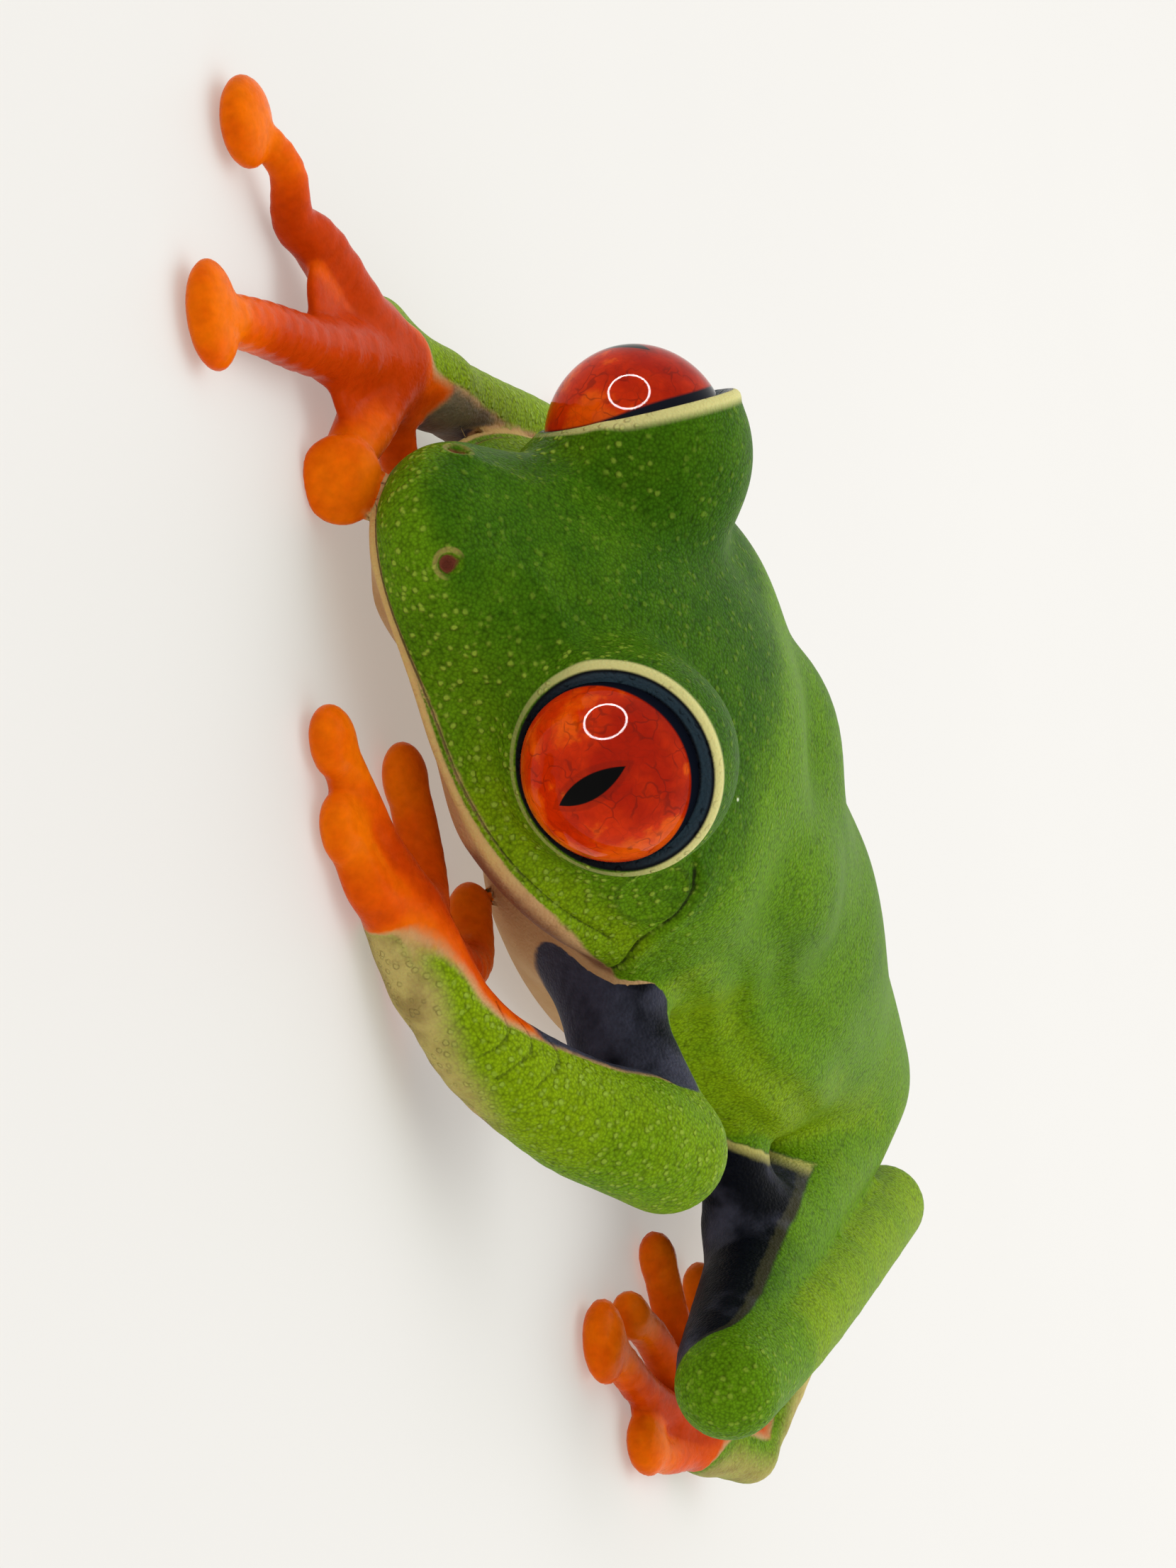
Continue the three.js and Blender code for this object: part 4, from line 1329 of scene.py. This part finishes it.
def skin_material(look):
    """Frog skin: colours laid over each other by the markings, ragged at their edges, with granules.

    The order from below is belly, navy flanks and limbs, the pale edge of the green, the green with its
    granules and painted white glints where it faces up, orange, tan mottled with brown, a painted brownish
    shade under the jaw, lips, nostrils, lids with a painted blue-grey sheen on the dark skin next to the
    eye, and painted shade along the mouth's parting, the folds, the creases and the ear drums' edges."""
    paint = Paint(bpy.data.materials.new("frog_skin"))
    mark = {name: paint.marking(name) for name in [*MARKINGS, *FINE_MARKINGS]}
    fine = paint.noise(FINE_CLOUD, 2.0)
    broad = paint.noise(BROAD_CLOUD, 3.0)
    medium = paint.noise(MEDIUM_CLOUD, 3.0)
    rough_edge = (medium - 0.5) * RAGGEDNESS[0] + (fine - 0.5) * RAGGEDNESS[1]
    bent = paint.warped(0.3, 0.07)
    granule, granule_node = paint.cells(look.granule_spacing / MM, vector=bent)
    pick = paint.node("ShaderNodeSeparateColor", {}, {0: granule_node.outputs["Color"]})
    chosen = paint.step(Value(paint, pick.outputs[0]) + mark["grain"] * 0.7, 0.35, 0.95)
    dots = (1 - paint.step(granule, 0.16, 0.4)) * chosen
    pores, _ = paint.cells(PORE_SIZE, vector=bent)

    belly = paint.mixed(medium, look.belly, look.belly_shade)
    bluish = paint.step(broad + (medium - 0.5) * 0.6 + mark["tone"] * 0.3, 0.35, 0.7)
    navy = paint.mixed(bluish, look.navy, look.blue)
    navy = paint.scaled(navy, 0.6 + fine * 0.8)
    colour = paint.mixed(paint.step(mark["navy"] + rough_edge, -0.2, 0.35), belly, navy)
    edging = paint.line(mark["green"] + rough_edge * 0.8, -0.22, 0.34) * mark["edging"]
    colour = paint.mixed(edging, colour, look.edging)

    tone = mark["tone"] + (broad - 0.5) * 0.7 + (medium - 0.5) * 0.5
    green = paint.mixed(paint.step(tone, -1.0, 0.0), look.green_dark, look.green)
    green = paint.mixed(paint.step(tone, 0.1, 1.0), green, look.green_yellow)
    green = paint.scaled(green, 1.32 - pores * PORE_SHADE + (fine - 0.5) * 0.4)
    green = paint.mixed(dots * mark["grain"] * 0.8, green, look.granules)
    # Painted glints: tiny near-white dots laid on the green only where the skin faces up.
    glint_cells, _ = paint.cells(GLINT_SPACING)
    painted_glints = (1 - paint.step(glint_cells, 0.012, 0.02)) * paint.step(mark["facing_up"], 0.3, 0.6)
    green = paint.mixed(painted_glints * 0.9, green, GLINT_TINT)
    is_green = paint.step(mark["green"] + rough_edge * 0.5, -0.08, 0.16)
    colour = paint.mixed(is_green, colour, green)

    wet = paint.step(mark["orange"] + rough_edge * 0.7, -0.1, 0.45)
    glow = mark["tone"] + (broad + medium - 1.0) * 1.4
    orange = paint.mixed(paint.step(glow, -0.9, 0.3), look.orange_red, look.orange_deep)
    orange = paint.mixed(paint.step(glow, 0.0, 1.2), orange, look.orange)
    orange = paint.scaled(orange, 0.8 + fine * 0.4)
    colour = paint.mixed(wet, colour, orange)
    # The forearm's pale edge is mottled with the same brown that paints the shade under the jaw.
    tan = paint.mixed(paint.step(medium, 0.4, 0.7) * 0.6, look.tan, look.brown_mottle_and_shade)
    colour = paint.mixed(paint.step(mark["tan"] + rough_edge, -0.6, 0.8) * 0.85, colour, tan)
    # Painted shade under the jaw: the brown mixed with the belly's darker patches, kept off the green.
    brown_mottle_and_shade = paint.step(mark["brown_mottle_and_shade"] + rough_edge, 0.0, 0.7) * (1 - is_green)
    colour = paint.mixed(brown_mottle_and_shade, colour, paint.mixed(fine * 0.5, look.brown_mottle_and_shade, look.belly_shade))

    below = 0 - mark["mouth"]
    lip = paint.step(below, 0.0, 0.06) * (1 - paint.step(below + rough_edge * 0.2, 0.42, 0.62))
    lip = lip * mark["lips"] * paint.step(mark["ahead"] + broad * 2, -1.5, 1.5)
    colour = paint.mixed(lip, colour, paint.mixed(fine * 0.5, look.lip, look.edging))
    pale_rim = paint.line(mark["nostril"], 0.5, 0.14) * paint.step(medium, 0.35, 0.6) * 0.4
    colour = paint.mixed(pale_rim, colour, look.lip)
    pit = 1 - paint.step(mark["nostril"] + (fine - 0.5) * 0.2, 0.24, 0.4)
    colour = paint.mixed(pit, colour, look.nostril_tint)

    round_top = paint.step(mark["rim_up"], -0.75, 0.45)
    margin = paint.line(mark["rim"], 0.16, 0.16 + 0.22 * round_top) * (0.3 + 0.7 * round_top)
    colour = paint.mixed(margin, colour, look.lid)
    inner = 1 - paint.step(mark["rim"], -0.1, 0.02)
    # Painted reflection: a blue-grey sheen across the upper part of the dark skin between the lid margin and
    # the eye, darkest right next to the eye.
    sheen = paint.line(mark["rim"], -0.33, 0.22) * round_top
    colour = paint.mixed(inner, colour, paint.mixed(sheen, look.pit, look.socket))

    # Painted shade: dark lines along the mouth's parting, the folds behind the ears, the forearm's creases
    # and the ear drums' edges.
    mouth = paint.line(mark["mouth"], -0.01, 0.03 + 0.05 * medium) * mark["lips"]
    fold = (1 - paint.step(mark["fold"], 0.03, 0.11)) * paint.step(medium, 0.35, 0.5)
    crease = (1 - paint.step(mark["crease"] + (fine - 0.5) * 0.15, 0.02, 0.1)) * 0.45
    ear_edge_shade = paint.line(mark["ear"], 0.0, 0.14) * 0.25
    painted_crease_shade = paint.math("MAXIMUM", paint.math("MAXIMUM", mouth * 0.7, fold * 0.85), crease + ear_edge_shade)
    colour = paint.mixed(painted_crease_shade, colour, look.painted_crease_shade)

    roughness = look.roughness + (fine - 0.5) * 0.16 - wet * look.wetness - inner * 0.25
    grainy = is_green * (1 - wet)
    height = (dots * (0.3 + mark["grain"]) * grainy + (1 - pores) * 0.5) * (1 - wet * 0.8) + fine * 0.35
    paint.finish(colour, roughness, height, look.granule_height / MM)
    film = {"Coat Weight": look.coat, "Coat Roughness": 0.18, "Specular IOR Level": look.gloss}
    film["Specular Tint"] = (*look.gloss_tint, 1)
    inside = {"Subsurface Weight": look.depth, "Subsurface Scale": look.depth_scale}
    paint.constants({**film, **inside, "Subsurface Radius": (1.0, 0.45, 0.2)})
    return paint.owner


def eye_material(look):
    """A glossy red iris with dark veins, a pointed slit and a navy edge against the lids."""
    paint = Paint(bpy.data.materials.new("frog_eye"))
    along = paint.marking("slit_along")
    across = paint.marking("slit_across")
    height = paint.marking("above_lids")
    round_top = paint.step(paint.marking("round_up"), -0.2, 0.9)
    cloud = paint.noise(IRIS_CLOUD, 4.0)
    fine = paint.noise(IRIS_GRAIN, 3.0)
    vein_place = paint.warped(0.9, 0.5)
    net, _ = paint.cells(VEIN_SPACING, "DISTANCE_TO_EDGE", vein_place)
    small_net, _ = paint.cells(SMALL_VEIN_SPACING, "DISTANCE_TO_EDGE", vein_place)
    patches = paint.step(paint.noise(VEIN_PATCH, 2.0), 0.42, 0.6)
    veins = (1 - paint.step(net, 0.01, 0.055)) * patches
    small = (1 - paint.step(small_net, 0.01, 0.08)) * (1 - patches * 0.5) * 0.5
    from_slit = paint.math("SQRT", along * along + across * across * 1.5)
    glow = paint.step(cloud * 0.9 + from_slit * 0.09 - round_top * 0.28, 0.3, 0.72)
    iris = paint.mixed(glow, look.iris_deep, look.iris)
    iris = paint.mixed(paint.step(glow * cloud, 0.42, 0.62), iris, look.iris_bright)
    iris = paint.scaled(iris, 0.8 + fine * 0.4)
    iris = paint.mixed(paint.math("MAXIMUM", veins * 0.45, small * 0.3), iris, look.vein)
    half_length = look.slit_length / MM / 2
    half_width = look.slit_width / MM / 2
    share = along / half_length
    lens = half_width * (1 - share * share) - abs(across)
    ring = paint.line(lens, -0.12, 0.16) * 0.3
    iris = paint.mixed(ring, iris, look.vein)
    colour = paint.mixed(paint.step(lens, -0.03, 0.03), iris, look.pupil)
    edge = 1 - paint.step(height - 0.3 * round_top, 0.12, 0.24)
    colour = paint.mixed(edge, colour, look.edge)
    paint.finish(colour, 0.32 + (fine - 0.5) * 0.1, fine, IRIS_RELIEF)
    cornea = {"Coat Weight": 1.0, "Coat Roughness": 0.02, "Coat IOR": 1.15}
    paint.constants({**cornea, "Specular IOR Level": 0.0})
    return paint.owner


def floor_material(look):
    """A smooth pale floor with faint clouds, which glows a little."""
    paint = Paint(bpy.data.materials.new("studio_floor"))
    cloud = paint.noise(FLOOR_CLOUD, 3.0)
    shade = tuple(FLOOR_SHADE * part for part in look.floor)
    colour = paint.mixed(cloud, look.floor, shade)
    paint.finish(colour, 0.5 + cloud * 0.1, cloud, FLOOR_RELIEF)
    paint.constants({"Emission Color": (*look.floor_glow, 1), "Emission Strength": 1.0})
    return paint.owner


# ---------------------------------------------------------------- meshes


def link(item):
    """Adds an object to the scene and gives it back."""
    bpy.context.scene.collection.objects.link(item)
    return item


def make_piece(name, points, faces, material, marks):
    """A smooth-shaded mesh with its markings, added to the scene and riding on the body."""
    mesh = bpy.data.meshes.new(name)
    mesh.from_pydata(placed(points).tolist(), [], faces)
    mesh.polygons.foreach_set("use_smooth", np.ones(len(mesh.polygons), bool))
    for mark, values in marks.items():
        layer = mesh.attributes.new(mark, "FLOAT", "POINT")
        layer.data.foreach_set("value", np.asarray(values, np.float32))
    mesh.materials.append(material)
    mesh.update()
    piece = link(bpy.data.objects.new(name, mesh))
    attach(piece, "root")
    return piece


EYE_ROUND = 96
EYE_RINGS = 56
# Directions ahead, to the left and up, for the left eye. The right eye's are the other way across.
PUPIL_FACING = [0.67, 0.71, 0.22]
SLIT_RUN = [-0.01, -0.18, 0.79]
CORNEA_SPREAD = 0.75  # the angle from the pupil over which the cornea's bulge falls off


def eyeball(side, bulge):
    """A globe with its pole at the pupil and a cornea that stands proud of it: the radius is the
    eye's plus the bulge times exp(-(angle from the pupil over its spread)^2)."""
    mirror = np.array([1, side, 1])
    pole = unit((np.array(PUPIL_FACING) * mirror) @ HEAD_AXES)
    run = (np.array(SLIT_RUN) * mirror) @ HEAD_AXES
    run = unit(run - run @ pole * pole)
    across = np.cross(pole, run)
    angle = np.linspace(0, math.pi, EYE_RINGS + 1)[1:-1, None]
    turn = np.linspace(0, 2 * math.pi, EYE_ROUND, endpoint=False)[None, :]
    sides = np.cos(turn)[..., None] * run + np.sin(turn)[..., None] * across
    grid = np.cos(angle)[..., None] * pole + np.sin(angle)[..., None] * sides
    directions = np.concatenate([[pole], grid.reshape(-1, 3), [-pole]])
    bend = np.arccos(np.clip(directions @ pole, -1, 1))
    radius = EYE_RADIUS + bulge * np.exp(-((bend / CORNEA_SPREAD) ** 2))
    points = eye_centre(side) + radius[:, None] * directions
    number = np.arange(grid.shape[0] * EYE_ROUND).reshape(-1, EYE_ROUND) + 1
    ahead = np.roll(number, -1, axis=1)
    quads = np.stack([number[:-1], number[1:], ahead[1:], ahead[:-1]], -1).reshape(-1, 4)
    first = np.stack([np.zeros(EYE_ROUND, int), number[0], ahead[0]], 1)
    last = np.stack([np.full(EYE_ROUND, len(points) - 1), ahead[-1], number[-1]], 1)
    _, _, up_round = lid_frame(points, side)
    marks = {
        "slit_along": EYE_RADIUS * np.arcsin(np.clip(directions @ run, -1, 1)),
        "slit_across": EYE_RADIUS * np.arcsin(np.clip(directions @ across, -1, 1)),
        "above_lids": (points - eye_centre(side)) @ gaze(side) - LID_DEPTH,
        "round_up": up_round,
    }
    return points, quads.tolist() + first.tolist() + last.tolist(), marks


# ---------------------------------------------------------------- settings


def length(name, description, millimetres, **limits):
    """A size that is entered in metres."""
    return bpy.props.FloatProperty(
        name=name, description=description, default=millimetres * MM, unit="LENGTH", precision=5, **limits
    )


def share(name, description, value):
    """A number from 0 to 1."""
    return bpy.props.FloatProperty(
        name=name, description=description, default=value, min=0, max=1, subtype="FACTOR"
    )


def tint(name, description, value):
    """A colour."""
    return bpy.props.FloatVectorProperty(
        name=name, description=description, default=value, size=3, min=0, max=1, subtype="COLOR"
    )


class TreeFrogSkin(bpy.types.PropertyGroup):
    """Fine shapes and colours of the skin."""

    net: length("Net spacing", "Grid cell that the skin is first worked out on", 0.42, min=0.0003)
    mouth: length("Mouth depth", "Depth of the parting between the lips", 0.1, min=0)
    jaw: length("Jaw inset", "How far the lower jaw lies inside the snout's sides", 0.75, min=0)
    fold: length("Fold depth", "Depth of the fold behind each ear", 0.15, min=0)
    nostril: length("Nostril depth", "Depth of each nostril", 0.45, min=0)
    folds: length("Flank folds", "Height of the lengthwise folds along the flanks", 0.1, min=0)
    granule_spacing: length("Granule spacing", "Distance between the pale granules", 0.4, min=0.0001)
    granule_height: length("Granule height", "Relief of the granules", 0.07, min=0)
    green: tint("Green", "Green of the back", (0.115, 0.255, 0.005))
    green_dark: tint("Dark green", "Green on top of the head", (0.033, 0.112, 0.003))
    green_yellow: tint("Yellow green", "Green of the snout's sides and the arms", (0.22, 0.35, 0.004))
    granules: tint("Granules", "Colour of the pale granules", (0.32, 0.47, 0.045))
    navy: tint("Navy", "Darker colour of the flanks and the limbs' hidden sides", (0.004, 0.005, 0.009))
    blue: tint("Blue", "Paler colour of the flanks and upper arms", (0.048, 0.050, 0.078))
    edging: tint("Edging", "Pale edge of the green on flanks and thighs", (0.62, 0.56, 0.16))
    belly: tint("Belly", "Throat, belly and the bars of the flanks", (0.62, 0.40, 0.19))
    belly_shade: tint("Belly shade", "Darker patches of the throat and belly", (0.48, 0.26, 0.11))
    lip: tint("Lip", "Lower lip", (0.62, 0.37, 0.15))
    tan: tint("Tan", "Pale lower edge of the forearm", (0.58, 0.44, 0.16))
    # rosy: the brown of the painted shade under the jaw, also the mottling of the forearm's pale edge.
    brown_mottle_and_shade: tint("Rosy", "Brownish skin below the jaw", (0.19, 0.080, 0.042))
    orange: tint("Orange", "Tips of the digits", (0.84, 0.16, 0.001))
    orange_deep: tint("Deep orange", "Skin of the digits", (0.72, 0.085, 0.001))
    orange_red: tint("Orange red", "Reddest skin of the palms and soles", (0.50, 0.040, 0.001))
    nostril_tint: tint("Nostril", "Inside of each nostril", (0.20, 0.05, 0.03))
    lid: tint("Lid margin", "Pale margin of each lid", (0.66, 0.62, 0.25))
    # socket: the colour of a painted reflection, the blue-grey sheen on the dark skin next to the eye.
    socket: tint("Socket", "Blue sheen of the dark skin between lid and eye", (0.030, 0.055, 0.075))
    pit: tint("Pit", "Darkest skin, next to the eye", (0.004, 0.005, 0.009))
    # ink: the colour of the painted shade in the mouth's parting, the folds, the creases and round the ear
    # drums.
    painted_crease_shade: tint("Ink", "Dark of the mouth line and the creases", (0.012, 0.010, 0.006))
    roughness: share("Roughness", "Roughness of the green skin", 0.44)
    wetness: share("Wetness", "How much smoother the orange skin is", 0.16)
    gloss: share("Gloss", "Strength of the skin's own reflections", 0.03)
    gloss_tint: tint("Gloss tint", "Tint of the skin's reflections seen face on", (0.9, 0.8, 0.3))
    coat: share("Moist film", "Strength of the moist film over the skin", 0.006)
    depth: share("Translucence", "Share of light that passes through the skin", 0.1)
    depth_scale: length("Translucence depth", "How far light travels in the skin", 0.5, min=0)


class TreeFrogEyes(bpy.types.PropertyGroup):
    """Sizes and colours of the eyes."""

    bulge: length("Cornea", "How far the cornea stands proud of the globe", 0.1, min=0)
    slit_length: length("Slit length", "Length of the pupil", 2.95, min=0.0005)
    slit_width: length("Slit width", "Width of the pupil", 0.84, min=0.0002)
    iris: tint("Iris", "Main colour of the iris", (0.66, 0.032, 0.001))
    iris_deep: tint("Deep iris", "Darker red of the iris", (0.42, 0.012, 0.001))
    iris_bright: tint("Bright iris", "Orange patches of the iris", (0.85, 0.10, 0.002))
    vein: tint("Veins", "Fine dark veins", (0.10, 0.008, 0.004))
    pupil: tint("Pupil", "Colour of the pupil", (0.001, 0.001, 0.001))
    edge: tint("Edge", "Dark edge of the eye against the lids", (0.006, 0.008, 0.016))


class TreeFrogStudio(bpy.types.PropertyGroup):
    """Floor, lights and camera."""

    floor: tint("Floor", "Colour of the floor", (0.45, 0.46, 0.46))
    floor_glow: tint("Floor glow", "Light that comes through the pale floor", (0.34, 0.315, 0.285))
    sky: bpy.props.FloatProperty(
        name="Surroundings", description="Brightness of the pale surroundings", default=1.0, min=0
    )
    dim_side: share("Dim side", "Brightness of the surroundings beside the camera", 0.8)
    key: bpy.props.FloatProperty(
        name="Key light", description="Power of the large soft lamp", default=0.6, min=0, unit="POWER"
    )
    ring: bpy.props.FloatProperty(
        name="Ring light",
        description="Power of the ring that each eye mirrors",
        default=0.12,
        min=0,
        unit="POWER",
    )
    lens: bpy.props.FloatProperty(
        name="Lens", description="Focal length", default=113.88, min=20, unit="CAMERA"
    )


# ---------------------------------------------------------------- operators


class Relief:
    """Depths of the skin's fine shapes in millimetres."""

    def __init__(self, look):
        self.mouth = look.mouth / MM
        self.jaw = look.jaw / MM
        self.fold = look.fold / MM
        self.nostril = look.nostril / MM
        self.folds = look.folds / MM


class TREEFROG_OT_skin(bpy.types.Operator):
    """Make one skin with its markings over the whole body"""

    bl_idname = "treefrog.skin"
    bl_label = "Skin"

    def execute(self, context):
        look = context.scene.treefrog_skin
        relief = Relief(look)
        points, faces, normals = make_skin(relief, look.net / MM)
        marks = {**blended_markings(points, normals), **fine_markings(points, normals)}
        skin = make_piece("skin", points, faces.tolist(), skin_material(look), marks)
        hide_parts(*[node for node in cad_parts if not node.startswith("eye")])
        return {"FINISHED"}


class TREEFROG_OT_eyes(bpy.types.Operator):
    """Make both eyeballs with slit pupils"""

    bl_idname = "treefrog.eyes"
    bl_label = "Eyes"

    def execute(self, context):
        look = context.scene.treefrog_eyes
        material = eye_material(look)
        for name, side in SIDES.items():
            points, faces, marks = eyeball(side, look.bulge / MM)
            eye = make_piece(f"eyeball_{name}", points, faces, material, marks)
            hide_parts(f"eye_{name}")
        return {"FINISHED"}


CAMERA_PLACE = [93.91, -166.42, 58.9]  # in millimetres in the frog's frame
CAMERA_VIEW = unit([-0.482, 0.829, -0.283])
CAMERA_RIGHT = np.array([0.864, 0.503, 0.0])
CAMERA_ROLL = math.radians(82.703)
SENSOR_WIDTH = 36
# Lengths from here on are in metres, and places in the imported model's frame.
NEAREST_SEEN = 0.01
FARTHEST_SEEN = 10
FLOOR_REACH = 3.0
SKY_TINT = (1.0, 0.99, 0.965)
DIM_SIDE = (0.482, -0.829, 0.283)  # from the frog towards the camera
DIM_FROM = -0.3  # cosines of the angle from there at which the dimming begins and is full
DIM_TO = 0.75
KEY_PLACE = [-0.04, 0.13, 0.34]
KEY_SIZE = 0.45
RING_RADIUS = 0.0078
RING_SHARE = 0.9  # the ring's radius as a share of its lamp's
RING_HALF_WIDTH = 0.035  # as a share of its lamp's size
RING_DISTANCE = 0.02
# From each eyeball's centre towards its ring.
RING_DIRECTION = {"left": [-0.42, -0.89, 0.09], "right": [-0.36, -0.91, 0.15]}


def facing(place, direction):
    """A matrix that puts an object at a place with its -Z along a direction."""
    turn = Vector(direction).to_track_quat("-Z", "Y").to_matrix().to_4x4()
    return Matrix.Translation(Vector(place)) @ turn


def make_floor(look):
    """A wide level square at the frog's feet."""
    reach = FLOOR_REACH
    mesh = bpy.data.meshes.new("floor")
    corners = [(-reach, -reach, 0), (reach, -reach, 0), (reach, reach, 0), (-reach, reach, 0)]
    mesh.from_pydata(corners, [], [(0, 1, 2, 3)])
    mesh.materials.append(floor_material(look))
    link(bpy.data.objects.new("floor", mesh))


def make_ring(look, side):
    """A round lamp that shines from a thin ring near its edge, and that only one eye mirrors."""
    lamp = bpy.data.lights.new(f"ring_{side}", "AREA")
    lamp.shape = "DISK"
    lamp.size = 2 * RING_RADIUS / RING_SHARE
    lamp.energy = look.ring
    glow = Paint(lamp)
    place = glow.node("ShaderNodeNewGeometry", {}, {}).outputs["Parametric"]
    split = glow.node("ShaderNodeSeparateXYZ", {}, {0: place})
    across = Value(glow, split.outputs[0]) - 0.5
    upwards = Value(glow, split.outputs[1]) - 0.5
    away = glow.math("SQRT", across * across + upwards * upwards)
    on_ring = glow.line(away, RING_SHARE / 2, RING_HALF_WIDTH)
    colour = glow.mixed(on_ring, (0, 0, 0), (1, 1, 1))
    glow.feed(lamp.node_tree.nodes["Emission"].inputs["Color"], colour)
    axis = unit(RING_DIRECTION[side])
    centre = placed(eye_centre(SIDES[side])) + RING_DISTANCE * axis
    ring = link(bpy.data.objects.new(f"ring_{side}", lamp))
    ring.matrix_world = facing(centre, -axis)
    ring.visible_diffuse = False
    lit = bpy.data.collections.new(f"lit_by_ring_{side}")
    lit.objects.link(bpy.data.objects[f"eyeball_{side}"])
    ring.light_linking.receiver_collection = lit


def make_light(look):
    """Pale surroundings, dimmed beside the camera but not in its view, and a large soft lamp that
    lights only the skin and the floor."""
    world = bpy.data.worlds.new("studio")
    sky = Paint(world)
    direction = sky.node("ShaderNodeTexCoord", {}, {}).outputs["Generated"]
    toward = sky.node("ShaderNodeVectorMath", {"operation": "DOT_PRODUCT"}, {0: direction, 1: DIM_SIDE})
    dimmed = sky.step(Value(sky, toward.outputs["Value"]), DIM_FROM, DIM_TO) * (1 - look.dim_side)
    seen = sky.node("ShaderNodeLightPath", {}, {}).outputs["Is Camera Ray"]
    strength = look.sky * (1 - dimmed * (1 - Value(sky, seen)))
    background = world.node_tree.nodes["Background"]
    sky.feed(background.inputs["Color"], SKY_TINT)
    sky.feed(background.inputs["Strength"], strength)
    bpy.context.scene.world = world
    lamp = bpy.data.lights.new("key", "AREA")
    lamp.size = KEY_SIZE
    lamp.energy = look.key
    place = Vector(KEY_PLACE)
    key = link(bpy.data.objects.new("key", lamp))
    key.matrix_world = facing(place, -place)
    matt = bpy.data.collections.new("lit_by_key")
    for name in ("skin", "floor"):
        matt.objects.link(bpy.data.objects[name])
    key.light_linking.receiver_collection = matt


def make_camera(look):
    """A camera turned on its side, so that the floor stands upright in its view."""
    upright = np.cross(CAMERA_RIGHT, CAMERA_VIEW)
    right = math.cos(CAMERA_ROLL) * CAMERA_RIGHT + math.sin(CAMERA_ROLL) * upright
    up = np.cross(right, CAMERA_VIEW)
    turn = Matrix([[*row] for row in np.stack([right, up, -CAMERA_VIEW], 1)]).to_4x4()
    lens = bpy.data.cameras.new("camera")
    lens.sensor_width = SENSOR_WIDTH
    lens.lens = look.lens
    lens.clip_start = NEAREST_SEEN
    lens.clip_end = FARTHEST_SEEN
    camera = link(bpy.data.objects.new("camera", lens))
    camera.matrix_world = Matrix.Translation(Vector(placed(CAMERA_PLACE))) @ turn
    bpy.context.scene.camera = camera


class TREEFROG_OT_studio(bpy.types.Operator):
    """Make the floor, the lights and the camera"""

    bl_idname = "treefrog.studio"
    bl_label = "Studio"

    def execute(self, context):
        look = context.scene.treefrog_studio
        context.scene.view_settings.view_transform = "Standard"
        make_floor(look)
        for side in SIDES:
            make_ring(look, side)
        make_light(look)
        make_camera(look)
        return {"FINISHED"}


class TREEFROG_PT_panel(bpy.types.Panel):
    """The frog's settings and the steps that make it"""

    bl_idname = "TREEFROG_PT_panel"
    bl_label = "Tree Frog"
    bl_space_type = "VIEW_3D"
    bl_region_type = "UI"
    bl_category = "Tree Frog"

    def draw(self, context):
        for operator, settings in STEPS:
            box = self.layout.box()
            box.operator(operator.bl_idname)
            group = getattr(context.scene, settings)
            for name in group.__annotations__:
                box.prop(group, name)


GROUPS = {
    "treefrog_skin": TreeFrogSkin,
    "treefrog_eyes": TreeFrogEyes,
    "treefrog_studio": TreeFrogStudio,
}
STEPS = [
    (TREEFROG_OT_skin, "treefrog_skin"),
    (TREEFROG_OT_eyes, "treefrog_eyes"),
    (TREEFROG_OT_studio, "treefrog_studio"),
]
CLASSES = [*GROUPS.values(), *[operator for operator, _ in STEPS], TREEFROG_PT_panel]


def register():
    """Adds the classes and hangs their settings on the scene."""
    for item in CLASSES:
        bpy.utils.register_class(item)
    for name, group in GROUPS.items():
        setattr(bpy.types.Scene, name, bpy.props.PointerProperty(type=group))


def unregister():
    """Takes the settings and the classes away again."""
    for name in GROUPS:
        delattr(bpy.types.Scene, name)
    for item in reversed(CLASSES):
        bpy.utils.unregister_class(item)


def main():
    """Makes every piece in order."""
    register()
    bpy.ops.treefrog.skin()
    bpy.ops.treefrog.eyes()
    bpy.ops.treefrog.studio()


if __name__ == "__main__":
    main()
